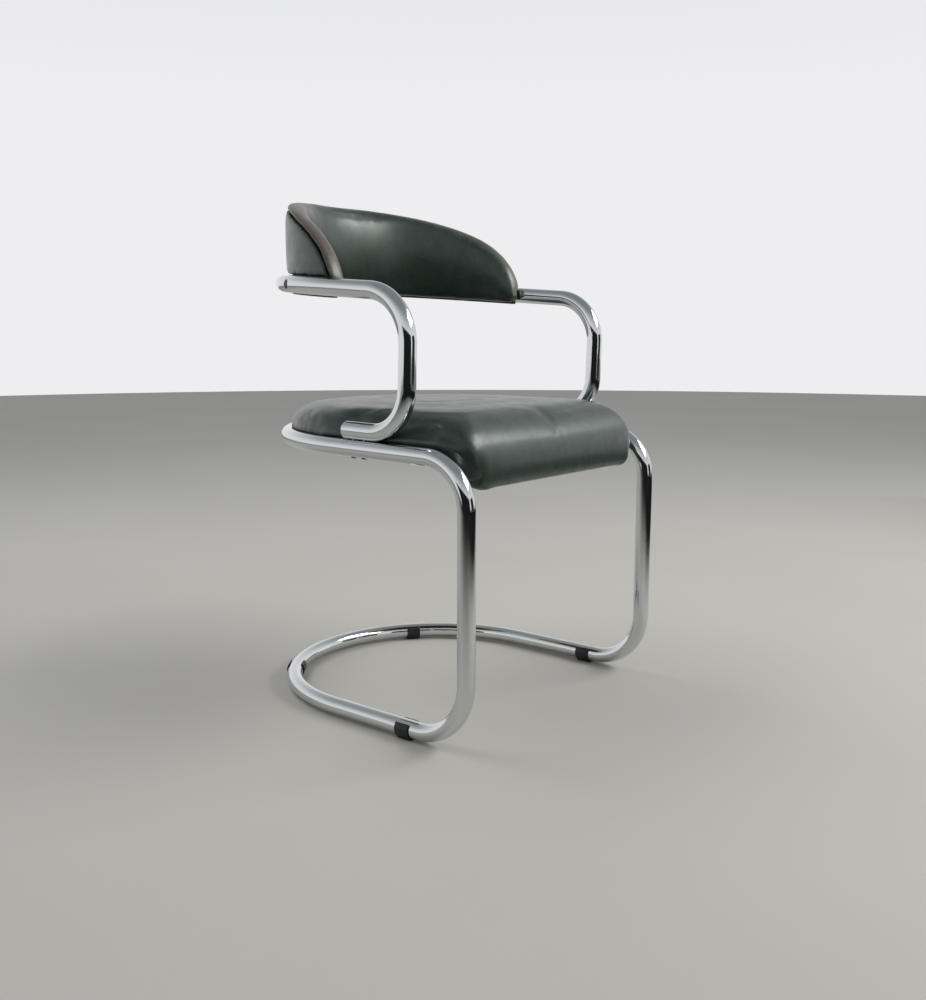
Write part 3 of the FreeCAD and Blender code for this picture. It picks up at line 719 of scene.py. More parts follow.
@dataclass
class BentTube:
    """One round tube, shaped as on a bending bench: its bends are spun, its runs extruded."""

    name: str
    diameter: float = TUBE_DIAMETER
    wall: float = 2.0
    sides: int = 64
    arc_step: float = 3.0
    obj: bpy.types.Object | None = None
    here: Vector = field(default_factory=Vector)
    trail: list[Vector] = field(default_factory=list)

    def begin(self, start: Vector, along: Vector) -> None:
        """Adds the first ring of the tube and keeps it selected in edit mode.

        Args:
            start: the centre of the first ring.
            along: the direction in which the tube leaves it.
        """
        turn = along.to_track_quat("Z", "Y").to_euler()
        bpy.ops.object.select_all(action="DESELECT")
        bpy.ops.mesh.primitive_circle_add(vertices=self.sides, radius=self.diameter / 2 * MM,
                                          fill_type="NOTHING", location=start, rotation=turn)
        self.obj = start_piece(self.name)
        self.here = start.copy()
        self.trail = [self.here]
        bpy.ops.object.mode_set(mode="EDIT")
        bpy.ops.mesh.select_all(action="SELECT")

    def run_to(self, end: Vector) -> None:
        """Extrudes a straight run from where the tube is to a point."""
        bpy.ops.mesh.extrude_region_move(TRANSFORM_OT_translate={"value": end - self.here})
        self.here = end.copy()
        self.trail.append(self.here)

    def turn(self, centre: Vector, axis: Vector, angle: float) -> None:
        """Spins an arc about an axis, from where the tube is.

        Args:
            centre: the bend's centre.
            axis: the bend's axis.
            angle: how far it turns about the axis, in degrees.
        """
        steps = max(4, round(abs(angle) / self.arc_step))
        bpy.ops.mesh.spin(steps=steps, angle=-math.radians(angle), center=centre, axis=axis)
        arm = self.here - centre
        for step in range(1, steps + 1):
            part = Matrix.Rotation(math.radians(angle) * step / steps, 3, axis)
            self.trail.append(centre + part @ arm)
        self.here = self.trail[-1]

    def round_corner(self, corner: Vector, after: Vector, radius: float) -> None:
        """Runs towards a corner and bends round it.

        Args:
            corner: where the two straight runs would meet.
            after: the point that the next run heads for.
            radius: the bend's radius, in millimetres.
        """
        along = (corner - self.here).normalized()
        onward = (after - corner).normalized()
        angle = along.angle(onward)
        reach = radius * MM * math.tan(angle / 2)
        self.run_to(corner - along * reach)
        axis = along.cross(onward).normalized()
        centre = self.here + axis.cross(along) * (radius * MM)
        self.turn(centre, axis, math.degrees(angle))

    def centre_line(self) -> np.ndarray:
        """The left half's centre line in millimetres, one point a row."""
        return np.array([list(spot) for spot in self.trail]) / MM

    def finish(self) -> bpy.types.Object:
        """Mirrors the half, closes it up and gives it its wall.

        Returns:
            The whole hollow tube.
        """
        bpy.ops.object.mode_set(mode="OBJECT")
        apply_modifier(self.obj, "MIRROR", merge_threshold=0.1 * MM)
        settle_mesh(self.obj, Shading.ROUND)
        apply_modifier(self.obj, "SOLIDIFY", thickness=self.wall * MM, offset=-1.0)
        settle_mesh(self.obj, Shading.EDGED)
        return self.obj


@dataclass
class TubeFrame:
    """The two chromed tubes, with the measures that other pieces take from them."""

    ring_radius: float = 232.0
    leg_y: float = -240.42
    lower_ring_y: float = 4.18
    seat_rail_height: float = 396.0
    seat_slope: float = 1.2
    base_z: float = 14.7
    base_bend_radius: float = 84.0
    seat_bend_radius: float = 68.0
    butt_gap: float = 0.6
    arm_lift: float = 25.3
    arm_end_setback: float = 215.5
    arm_setback: float = 104.0
    arm_lean: float = 6.5
    arm_height: float = 612.0
    arm_slope: float = 4.3
    arm_ring_y: float = BACK_CENTRE_Y
    arm_low_radius: float = 62.0
    arm_high_radius: float = 72.0
    cap_thickness: float = 1.5
    lines: list[np.ndarray] = field(default_factory=list)

    def side_point(self, y: float, z: float) -> Vector:
        """A point in the plane of the left legs and arms."""
        return point(self.ring_radius, y, z)

    def rail_z(self, y: float) -> float:
        """Height of the seat rail's centre line at a depth."""
        return self.seat_rail_height + (y - self.leg_y) * math.tan(math.radians(self.seat_slope))

    def arm_z(self, y: float) -> float:
        """Height of the arm rail's centre line at a depth."""
        corner = self.leg_y + self.arm_setback - self.arm_lean
        return self.arm_height + (y - corner) * math.tan(math.radians(self.arm_slope))

    def build_lower(self) -> bpy.types.Object:
        """Shapes the base, legs, seat rails and seat ring.

        Returns:
            The lower tube.
        """
        tilt = math.radians(self.seat_slope)
        centre = point(0, self.lower_ring_y, self.rail_z(self.lower_ring_y))
        axis = Vector((0, -math.sin(tilt), math.cos(tilt)))
        gap = math.asin(self.butt_gap / 2 / self.ring_radius)
        out = Vector((math.sin(gap), math.cos(gap) * math.cos(tilt),
                      math.cos(gap) * math.sin(tilt)))
        tube = BentTube("lower_tube")
        tube.begin(centre + out * self.ring_radius * MM, out.cross(axis))
        tube.turn(centre, axis, -90 + math.degrees(gap))
        seat_corner = self.side_point(self.leg_y, self.seat_rail_height)
        base_corner = self.side_point(self.leg_y, self.base_z)
        base_end = self.side_point(self.lower_ring_y, self.base_z)
        tube.round_corner(seat_corner, base_corner, self.seat_bend_radius)
        tube.round_corner(base_corner, base_end, self.base_bend_radius)
        tube.run_to(base_end)
        tube.turn(point(0, self.lower_ring_y, self.base_z), Vector((0, 0, 1)), 90)
        self.lines.append(tube.centre_line())
        return tube.finish()

    def build_arms(self) -> bpy.types.Object:
        """Shapes the arms and the round back rail.

        Returns:
            The upper tube.
        """
        tilt = math.radians(self.seat_slope)
        rise = math.radians(self.arm_slope)
        square = Vector((0, -math.sin(tilt), math.cos(tilt))) * self.arm_lift * MM
        low = [self.side_point(self.leg_y + back, self.rail_z(self.leg_y + back)) + square
               for back in (self.arm_end_setback, self.arm_setback)]
        forward = (low[1] - low[0]).normalized()
        corner_y = self.leg_y + self.arm_setback - self.arm_lean
        high = self.side_point(corner_y, self.arm_height)
        ring_end = self.side_point(self.arm_ring_y, self.arm_z(self.arm_ring_y))
        start = low[0] + forward * (self.cap_thickness + 0.1) * MM
        tube = BentTube("arm_tube")
        tube.begin(start, forward)
        tube.round_corner(low[1], high, self.arm_low_radius)
        tube.round_corner(high, ring_end, self.arm_high_radius)
        tube.run_to(ring_end)
        centre = point(0, self.arm_ring_y, self.arm_z(self.arm_ring_y))
        tube.turn(centre, Vector((0, -math.sin(rise), math.cos(rise))), 90)
        self.lines.append(tube.centre_line())
        return tube.finish()

    def keep_clear(self, spots: np.ndarray, gap: float) -> np.ndarray:
        """Moves points that are inside a tube, or nearly, out to its surface.

        Args:
            spots: points in millimetres, one a row.
            gap: the room left between the tube and the points.

        Returns:
            The points, clear of both tubes.
        """
        clear = spots.copy()
        side = np.where(clear[:, 0] < 0, -1.0, 1.0)
        clear[:, 0] *= side
        reach = TUBE_DIAMETER / 2 + gap
        for line in self.lines:
            best = np.full(len(clear), np.inf)
            nearest = np.zeros_like(clear)
            for a, b in zip(line, line[1:]):
                foot, _ = foot_on(clear, a, b)
                distance = np.linalg.norm(clear - foot, axis=1)
                closer = distance < best
                best[closer] = distance[closer]
                nearest[closer] = foot[closer]
            inside = best < reach
            away = (clear[inside] - nearest[inside]) / np.maximum(best[inside], 1e-6)[:, None]
            clear[inside] = nearest[inside] + away * reach
        clear[:, 0] *= side
        return clear

    def build(self, chrome: bpy.types.Material) -> None:
        """Makes both tubes and hands them over."""
        hand_over(self.build_lower(), ("lower_frame_tube",), chrome)
        hand_over(self.build_arms(), ("arm_back_tube",), chrome)


# Fixings and fittings

GLIDES = ("front_glide_right", "front_glide_left", "rear_glide_right", "rear_glide_left")
HIDDEN_STEEL = ("arm_tapped_bars", "frame_splice_sleeve", "seat_nuts", "back_screws", "back_nuts")


@dataclass
class ButtonScrew:
    """A low round-headed machine screw with a hexagon socket, its head down and shank up."""

    head: float
    rise: float
    shank: float
    length: float
    socket: float = 4.0
    sides: int = 40
    dome: tuple[tuple[float, float], ...] = ((0.35, 1.0), (0.3, 0.93), (0.22, 0.87), (0.13, 0.76))
    tip: float = 0.8
    tip_width: float = 0.78

    def model(self) -> bpy.types.Object:
        """Models the screw at the origin, where its head meets what it clamps.

        Returns:
            The screw.
        """
        bpy.ops.object.select_all(action="DESELECT")
        bpy.ops.mesh.primitive_circle_add(vertices=self.sides, radius=self.head / 2 * MM,
                                          fill_type="NGON")
        screw = start_piece("screw")
        bpy.ops.object.mode_set(mode="EDIT")
        bpy.ops.mesh.select_all(action="SELECT")
        for share, narrow in self.dome:
            bpy.ops.mesh.extrude_region_move(
                TRANSFORM_OT_translate={"value": (0, 0, -self.rise * share * MM)})
            bpy.ops.transform.resize(value=(narrow, narrow, 1))
        select_faces(screw, lambda middle, normal: abs(middle.z) < 0.01 and abs(normal.z) > 0.9)
        bpy.ops.mesh.inset(thickness=(self.head - self.shank) / 2 * MM)
        bpy.ops.mesh.extrude_region_move(
            TRANSFORM_OT_translate={"value": (0, 0, (self.length - self.tip) * MM)})
        bpy.ops.mesh.extrude_region_move(TRANSFORM_OT_translate={"value": (0, 0, self.tip * MM)})
        bpy.ops.transform.resize(value=(self.tip_width, self.tip_width, 1))
        bpy.ops.object.mode_set(mode="OBJECT")
        settle_mesh(screw, Shading.EDGED)
        self.cut_socket(screw)
        return screw

    def cut_socket(self, screw: bpy.types.Object) -> None:
        """Cuts the hexagon socket in the head."""
        depth = self.rise * 0.75
        bpy.ops.object.select_all(action="DESELECT")
        bpy.ops.mesh.primitive_cylinder_add(vertices=6, radius=self.socket / math.sqrt(3) * MM,
                                            depth=2 * depth * MM, location=(0, 0, -self.rise * MM))
        cutter = start_piece("socket")
        apply_modifier(screw, "BOOLEAN", operation="DIFFERENCE", object=cutter, solver="EXACT")
        bpy.data.objects.remove(cutter)
        settle_mesh(screw, Shading.EDGED)


@dataclass
class Fittings:
    """Bolts, screws, plates, caps and plugs of the tubes, and the glides on the base."""

    tubes: TubeFrame
    tube: float = TUBE_DIAMETER / 2
    bolt_setbacks: tuple[float, float] = (200.0, 180.0)
    bolt_length: float = 39.8
    bolt_lift: float = 0.15
    lug_front: float = 118.0
    lug_angle: float = 50.0
    lug_screw: float = 28.0
    screw_drop: float = 9.0
    screw_length: float = 12.0
    plug_crown: float = 0.7
    plug_radius: float = 7.0
    plug_angles: tuple[float, float, float] = (22.0, 90.0, 158.0)

    def up(self) -> Vector:
        """Upwards, square to the seat."""
        tilt = math.radians(self.tubes.seat_slope)
        return Vector((0, -math.sin(tilt), math.cos(tilt)))

    def bolts(self) -> bpy.types.Object:
        """Makes the four bolts that hold the arms on the seat rails."""
        screw = ButtonScrew(head=10.0, rise=0.8, shank=6.0, length=self.bolt_length)
        up, frames = self.up(), []
        for side in Side:
            for setback in self.bolt_setbacks:
                y = self.tubes.leg_y + setback
                rail = point(side.value * self.tubes.ring_radius, y, self.tubes.rail_z(y))
                spot = rail - up * ((self.tube + self.bolt_lift) * MM)
                frames.append(pose_at(spot, up, Vector((1, 0, 0))))
        return copies_of(screw.model(), frames, "arm_bolt_set")

    def lug_screws(self) -> bpy.types.Object:
        """Makes the four screws that hold the seat board on its lugs."""
        screw = ButtonScrew(head=11.0, rise=2.6, shank=6.0, length=self.screw_length)
        up, frames = self.up(), []
        reach = self.tube + self.lug_screw
        for side in Side:
            lean = math.radians(self.lug_angle)
            spots = ((side.value * (self.tubes.ring_radius - reach),
                      self.tubes.leg_y + self.lug_front),
                     (side.value * (self.tubes.ring_radius - reach) * math.cos(lean),
                      self.tubes.lower_ring_y
                      + (self.tubes.ring_radius - reach) * math.sin(lean)))
            for x, y in spots:
                seat = self.tubes.rail_z(y) - self.screw_drop
                frames.append(pose_at(point(x, y, seat), up, Vector((1, 0, 0))))
        return copies_of(screw.model(), frames, "seat_screw_set")

    def plugs(self) -> bpy.types.Object:
        """Makes the three plugs in the back rail, slightly domed."""
        obj = node_copy(("back_hole_plugs",), "back_hole_plug_set")
        with whole_mesh(obj):
            bpy.ops.mesh.subdivide(number_cuts=1)
        spots = places(obj)
        level = spots[:, :2] - np.array([0.0, self.tubes.arm_ring_y])
        far = np.linalg.norm(level, axis=1)
        outwards = level / far[:, None]
        line = self.tubes.lines[1]
        folded = np.column_stack((np.abs(spots[:, 0]), spots[:, 1:]))
        gap = np.min(np.linalg.norm(folded[:, None, :] - line[None, :, :], axis=2), axis=1)
        outer = smooth_step(gap, self.tube - 1.2, self.tube - 0.2)
        for angle in self.plug_angles:
            lean = math.radians(angle)
            axis = np.array([math.cos(lean), math.sin(lean)])
            along = level @ np.array([-axis[1], axis[0]])
            near = (np.abs(along) < self.plug_radius + 1) & (level @ axis > 0)
            middle = spots[near][:, 2].mean()
            reach = np.hypot(along, spots[:, 2] - middle) / self.plug_radius
            lift = self.plug_crown * outer * np.clip(1.15 - reach ** 4, 0.0, 1.0) * near
            spots[:, :2] += outwards * lift[:, None]
        move_points(obj, spots)
        settle_mesh(obj, Shading.EDGED)
        return obj

    def build(self, chrome: bpy.types.Material, zinc: bpy.types.Material,
              plastic: bpy.types.Material) -> None:
        """Makes the fittings that show and dresses the hidden ones."""
        hand_over(self.bolts(), ("arm_bolts",), zinc)
        hand_over(self.lug_screws(), ("seat_screws",), zinc)
        hand_over(self.plugs(), ("back_hole_plugs",), plastic)
        hand_over(softened_copy("seat_lugs", "seat_lug_set", 0.5),
                  ("seat_lugs",), zinc)
        hand_over(softened_copy("arm_end_caps", "arm_end_cap_set", 0.5),
                  ("arm_end_caps",), chrome)
        for node in GLIDES:
            hand_over(softened_copy(node, node + "_clip", 0.4), (node,), plastic)
        for node in HIDDEN_STEEL:
            dress_node(node, zinc)


@dataclass
class SeatUnderside:
    """The plywood board under the cushion, its front batten and the cloth stapled under it."""

    cloth_size: tuple[float, float] = (350.0, 360.0)
    cloth_thickness: float = 0.6
    sag: float = 1.6
    sag_reach: tuple[float, float] = (175.0, 181.0)
    slack: float = 0.25
    slack_waves: tuple[float, float] = (29.0, 41.0)
    grid: float = 12.0
    staple_spacing: float = 38.0
    staple_inset: float = 6.0
    staple: tuple[float, float, float] = (10.0, 0.9, 0.6)

    def cloth(self) -> bpy.types.Object:
        """Makes the sheet from the flat underside, divided into a grid."""
        obj = node_copy(("seat_dust_cover",), "seat_dust_cloth")
        bpy.ops.object.mode_set(mode="EDIT")
        select_faces(obj, lambda middle, normal: normal.z > -0.9)
        bpy.ops.mesh.delete(type="FACE")
        bpy.ops.mesh.select_all(action="SELECT")
        bpy.ops.mesh.dissolve_limited(angle_limit=math.radians(2.0))
        for axis in (0, 1):
            reach = self.cloth_size[axis] / 2
            for step in np.arange(-reach + self.grid / 2, reach, self.grid):
                spot, normal = Vector((0, 0, 0)), Vector((0, 0, 0))
                spot[axis], normal[axis] = step * MM, 1.0
                bpy.ops.mesh.select_all(action="SELECT")
                bpy.ops.mesh.bisect(plane_co=spot, plane_no=normal)
        bpy.ops.object.mode_set(mode="OBJECT")
        return obj

    def edge_poses(self, obj: bpy.types.Object) -> list[Matrix]:
        """Where the staples go: a little inside the cloth's edge, one each few centimetres."""
        mesh = bmesh.new()
        mesh.from_mesh(obj.data)
        edge = next(e for e in mesh.edges if e.is_boundary)
        start = spot = edge.verts[0]
        path = [spot.co.copy()]
        while True:
            spot = edge.other_vert(spot)
            path.append(spot.co.copy())
            if spot is start:
                break
            edge = next(e for e in spot.link_edges if e.is_boundary and e is not edge)
        mesh.free()
        middle = sum(path, Vector()) / len(path)
        poses, walked, due = [], 0.0, self.staple_spacing / 2
        for a, b in zip(path, path[1:]):
            length = (b - a).length / MM
            while length > 0 and walked + length >= due:
                spot = a.lerp(b, (due - walked) / length)
                along = (b - a).normalized()
                inwards = along.cross(Vector((0, 0, 1)))
                if inwards.dot(middle - spot) < 0:
                    inwards = -inwards
                place = spot + inwards * (self.staple_inset * MM)
                poses.append(pose_at(place, Vector((0, 0, -1)), along))
                due += self.staple_spacing
            walked += length
        return poses

    def staples(self, poses: list[Matrix]) -> bpy.types.Object:
        """Makes one flat wire staple and copies it round the cloth."""
        bpy.ops.object.select_all(action="DESELECT")
        bpy.ops.mesh.primitive_cube_add(size=1.0)
        bpy.context.active_object.scale = Vector(self.staple) * MM
        staple = start_piece("staple")
        apply_modifier(staple, "BEVEL", width=0.25 * MM, segments=3)
        settle_mesh(staple, Shading.EDGED, merge=0.001)
        return copies_of(staple, poses, "dust_cloth_staples")

    def build(self, ply: bpy.types.Material, batten: bpy.types.Material,
              cloth: bpy.types.Material, zinc: bpy.types.Material) -> None:
        """Makes the underside's pieces and hands them over."""
        board = softened_copy("seat_board", "seat_plywood_board", 0.8)
        hand_over(board, ("seat_board",), ply)
        hand_over(softened_copy("seat_front_batten", "seat_batten", 1.5),
                  ("seat_front_batten",), batten)
        sheet = self.cloth()
        staples = self.staples(self.edge_poses(sheet))
        spots = places(sheet)
        share = np.prod(1 - (spots[:, :2] / self.sag_reach) ** 2, axis=1)
        wave = spots[:, :2] / self.slack_waves
        slack = np.sin(wave[:, 0] + 0.8 * np.sin(wave[:, 1])) * self.slack
        spots[:, 2] -= self.sag * np.clip(share, 0, 1) * (1 + slack)
        move_points(sheet, spots)
        apply_modifier(sheet, "SOLIDIFY", thickness=self.cloth_thickness * MM, offset=-1.0)
        settle_mesh(sheet, Shading.EDGED)
        hand_over(sheet, ("seat_dust_cover",), cloth)
        hand_over(staples, (), zinc)


# Padded pieces

@dataclass
class Padding:
    """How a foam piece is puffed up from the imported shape: remeshed, swollen as cloth, refined."""

    voxel: float
    shrink: float
    cap: float
    pressure: float = 4.0
    frames: int = 20
    smoothing: int = 6

    def remesh(self, obj: bpy.types.Object) -> None:
        """Turns the copied shape into an even mesh and draws it in a little."""
        apply_modifier(obj, "REMESH", mode="VOXEL", voxel_size=self.voxel * MM)
        apply_modifier(obj, "SMOOTH", factor=0.5, iterations=self.smoothing)
        move_points(obj, places(obj) - directions(obj) * self.shrink)

    def swell(self, obj: bpy.types.Object, limit: np.ndarray) -> None:
        """Blows the piece up as cloth under pressure and keeps the result.

        Args:
            obj: the even mesh.
            limit: the share of the cap that each point may move by.
        """
        scene = bpy.context.scene
        rest = places(obj)
        cloth = obj.modifiers.new("cloth", "CLOTH")
        cloth.settings.quality = 5
        cloth.settings.mass = 0.3
        cloth.settings.tension_stiffness = 15
        cloth.settings.compression_stiffness = 15
        cloth.settings.shear_stiffness = 5
        cloth.settings.bending_stiffness = 0.5
        cloth.settings.use_pressure = True
        cloth.settings.uniform_pressure_force = self.pressure
        cloth.settings.effector_weights.gravity = 0
        cloth.collision_settings.use_collision = False
        cloth.point_cache.frame_start = 1
        cloth.point_cache.frame_end = self.frames
        for step in range(1, self.frames + 1):
            scene.frame_set(step)
        moved = obj.evaluated_get(bpy.context.evaluated_depsgraph_get())
        flat = np.empty(3 * len(obj.data.vertices), dtype=np.float32)
        moved.data.vertices.foreach_get("co", flat)
        way = flat.reshape(-1, 3).astype(float) / MM - rest
        obj.modifiers.clear()
        scene.frame_set(1)
        length = np.linalg.norm(way, axis=1)
        share = np.minimum(1.0, limit * self.cap / np.maximum(length, 1e-6))
        move_points(obj, rest + way * share[:, None])

    def refine(self, obj: bpy.types.Object) -> None:
        """Adds one subdivision, for a smooth skin that takes finer shaping."""
        apply_modifier(obj, "SUBSURF", levels=1, render_levels=1)
        select_only(obj)
        bpy.ops.object.shade_smooth()


@dataclass
class SeatCushion:
    """Foam seat cushion in one smooth cover, crowned on top, with a deep rounded front edge.

    The cover has a soft ridge just above the side rails and a hollow between the ridge and the
    front lip, whose lower corners are well rounded. Behind, it reaches a little over the ring.
    """

    tubes: TubeFrame
    node: str = "seat_cushion"
    front_y: float = -236.9
    lip_bottom: float = 351.5
    lip_corner: float = 44.0
    lip_half_width: float = 214.0
    ridge_rise: float = 6.0
    ridge_width: float = 7.5
    ridge_height: float = 4.5
    lip_drop: float = 2.6
    rim_reach: float = 2.6
    hollow_depth: float = 4.0
    hollow_width: float = 11.0
    hollow_line: tuple[tuple[float, float], ...] = ((-186.0, 446.0), (-229.0, 372.0))
    clearance: float = 0.4
    rubbing: float = 0.3

    def round_lip(self, spots: np.ndarray) -> np.ndarray:
        """Rounds the two lower corners of the front lip, seen from the front."""
        side = np.where(spots[:, 0] < 0, -1.0, 1.0)
        across = np.abs(spots[:, 0]) - (self.lip_half_width - self.lip_corner)
        down = self.lip_bottom + self.lip_corner - spots[:, 2]
        corner = (across > 0) & (down > 0) & (spots[:, 1] < -150)
        square = np.maximum(across, down)
        length = np.maximum(np.hypot(across, down), 1e-6)
        scale = np.where(corner, square / length, 1.0)
        rounded = spots.copy()
        rounded[:, 0] = side * (self.lip_half_width - self.lip_corner + across * scale)
        rounded[:, 2] = self.lip_bottom + self.lip_corner - down * scale
        return np.where(corner[:, None], rounded, spots)

    def rail_distance(self, spots: np.ndarray) -> np.ndarray:
        """Distance of points from the rail's centre line, seen from the side."""
        line = self.tubes.lines[0][:, 1:]
        keep = (line[:, 0] < 20) & (line[:, 1] > 200)
        line = line[keep]
        best = np.full(len(spots), np.inf)
        for a, b in zip(line, line[1:]):
            foot, _ = foot_on(spots[:, 1:], a, b)
            best = np.minimum(best, np.linalg.norm(spots[:, 1:] - foot, axis=1))
        return best

    def side_relief(self, spots: np.ndarray, normals: np.ndarray) -> np.ndarray:
        """How far each point moves sideways: out along the ridge, in below and before it."""
        above = self.rail_distance(spots) - TUBE_DIAMETER / 2
        facing = smooth_step(np.abs(normals[:, 0]), 0.35, 0.8)
        flank = smooth_step(np.abs(spots[:, 0]), 175, 205) * facing
        forward = 1 - smooth_step(spots[:, 1], -135, -30)
        fade = smooth_step(spots[:, 1], -226, -205)
        ridge = self.ridge_height * np.exp(-((above - self.ridge_rise) / self.ridge_width) ** 2)
        ridge = ridge * (0.35 + 0.65 * forward) * fade
        # the hollow between the ridge and the upright corner of the lip
        foot, share = foot_on(spots[:, 1:], *np.array(self.hollow_line))
        gap = np.linalg.norm(spots[:, 1:] - foot, axis=1)
        hollow = self.hollow_depth * np.exp(-(gap / self.hollow_width) ** 2)
        hollow = hollow * smooth_step(share, -0.1, 0.5)
        return (ridge - hollow) * flank

    def build(self, vinyl: bpy.types.Material) -> None:
        """Makes the cushion and hands it over."""
        obj = node_copy((self.node,), "seat_cushion_cover")
        padding = Padding(voxel=5.0, shrink=1.0, cap=3.6)
        padding.remesh(obj)
        spots = self.round_lip(places(obj))
        move_points(obj, spots)
        normals = directions(obj)
        lip = 1 - smooth_step(spots[:, 1], -200, -180)
        limit = np.maximum(smooth_step(normals[:, 2], -0.5, 0.1), 0.8 * lip)
        near = smooth_step(self.rail_distance(spots), 14.0, 26.0)
        flank = smooth_step(np.abs(spots[:, 0]), 150, 190)
        padding.swell(obj, limit * (1 - flank * (1 - near)))
        padding.refine(obj)
        spots, normals = places(obj), directions(obj)
        side = np.where(spots[:, 0] < 0, -1.0, 1.0)
        spots[:, 0] += side * self.side_relief(spots, normals)
        spots[:, 2] -= self.lip_drop * (1 - smooth_step(spots[:, 2], 354, 385)) * \
            (1 - smooth_step(spots[:, 1], -205, -190))
        level = spots[:, :2] - np.array([0.0, self.tubes.lower_ring_y])
        outwards = level / np.maximum(np.linalg.norm(level, axis=1), 1e-6)[:, None]
        facing = smooth_step((normals[:, :2] * outwards).sum(axis=1), 0.1, 0.7)
        behind = smooth_step(spots[:, 1], -40, 60) * smooth_step(spots[:, 2], 412, 420)
        spots[:, :2] += outwards * (self.rim_reach * facing * behind)[:, None]
        move_points(obj, self.tubes.keep_clear(spots, self.clearance))
        set_measure(obj, "wear", self.wear(places(obj)))
        hand_over(obj, (self.node,), vinyl)

    def wear(self, spots: np.ndarray) -> np.ndarray:
        """How far the cover is rubbed: a little along the lower front edge."""
        front = 1 - smooth_step(spots[:, 1], self.front_y + 2, self.front_y + 30)
        low = 1 - smooth_step(spots[:, 2], self.lip_bottom + 4, self.lip_bottom + 26)
        return self.rubbing * front * low


@dataclass
class BackRest:
    """The soft pieces of the curved back: a padded inside with a rolled edge, an outer panel.

    The arcs are the back's side outline from its top round to its foot: the centre's Y and Z, the
    radius, and the first and last angle from upright, in radians.
    """

    tubes: TubeFrame
    cover_smoothing: int = 80
    roll_share: float = 0.35
    cover_clearance: float = 0.5
    panel_clearance: float = 0.4
    arcs: tuple[tuple[float, float, float, float, float], ...] = (
        (304.48, 272.13, 502.99, 0.1396, 0.4712),
        (150.76, 573.82, 164.40, 0.4712, 0.8727),
        (109.24, 608.66, 110.19, 0.8727, 1.4486),
        (11.78, 620.63, 12.00, 1.4486, 3.2166))

    def outwards(self, obj: bpy.types.Object) -> np.ndarray:
        """How far the surface faces away from the back's upright axis at its points."""
        spots, normals = places(obj), directions(obj)
        radius = np.hypot(spots[:, 0], spots[:, 1] - self.tubes.arm_ring_y)
        level = normals[:, 0] * spots[:, 0] + normals[:, 1] * (spots[:, 1] - self.tubes.arm_ring_y)
        return level / np.maximum(radius, 1e-6)

    def inset(self, spots: np.ndarray) -> np.ndarray:
        """How far points lie inside the back's side outline, in millimetres."""
        depth = np.full(len(spots), 60.0)
        for centre_y, centre_z, radius, first, last in self.arcs:
            out_y, out_z = centre_y - spots[:, 1], spots[:, 2] - centre_z
            angle = np.arctan2(out_y, out_z)
            here = (angle >= first - 0.02) & (angle <= last + 0.02)
            gap = np.abs(radius - np.hypot(out_y, out_z))
            depth = np.where(here, np.minimum(depth, gap), depth)
        return depth

    def build_cover(self, vinyl: bpy.types.Material) -> None:
        """Makes the padded inside with its rolled edge, in one cover."""
        nodes = ("back_inner_pad", "back_edge_band")
        obj = node_copy(nodes, "back_cover")
        padding = Padding(voxel=3.6, shrink=1.2, cap=2.4)
        padding.remesh(obj)
        edge = 1 - smooth_step(self.inset(places(obj)), 10.0, 14.0)
        inside = smooth_step(-self.outwards(obj), 0.0, 0.5)
        limit = np.maximum(inside, self.roll_share * edge)
        padding.swell(obj, limit)
        padding.refine(obj)
        apply_modifier(obj, "SMOOTH", factor=0.5, iterations=self.cover_smoothing)
        move_points(obj, self.tubes.keep_clear(places(obj), self.cover_clearance))
        spots = places(obj)
        crest = 1 - smooth_step(self.inset(spots), 2.0, 15.0)
        towards_front = 1 - smooth_step(spots[:, 1], 60.0, 190.0)
        sitter_right = 1 - 0.3 * smooth_step(spots[:, 0], -60.0, 60.0)
        set_measure(obj, "wear", crest * (0.42 + 0.28 * towards_front) * sitter_right)
        hand_over(obj, nodes, vinyl)

    def build_panel(self, vinyl: bpy.types.Material) -> None:
        """Makes the thin padded panel on the outside."""
        obj = node_copy(("back_outer_pad",), "back_outer_panel")
        padding = Padding(voxel=3.2, shrink=0.8, cap=1.1, smoothing=4)
        padding.remesh(obj)
        padding.swell(obj, smooth_step(self.outwards(obj), 0.2, 0.7))
        padding.refine(obj)
        move_points(obj, self.tubes.keep_clear(places(obj), self.panel_clearance))
        set_measure(obj, "wear", np.zeros(len(obj.data.vertices)))
        hand_over(obj, ("back_outer_pad",), vinyl)

    def build(self, vinyl: bpy.types.Material) -> None:
        """Makes the soft pieces of the back."""
        self.build_cover(vinyl)
        self.build_panel(vinyl)


# Studio

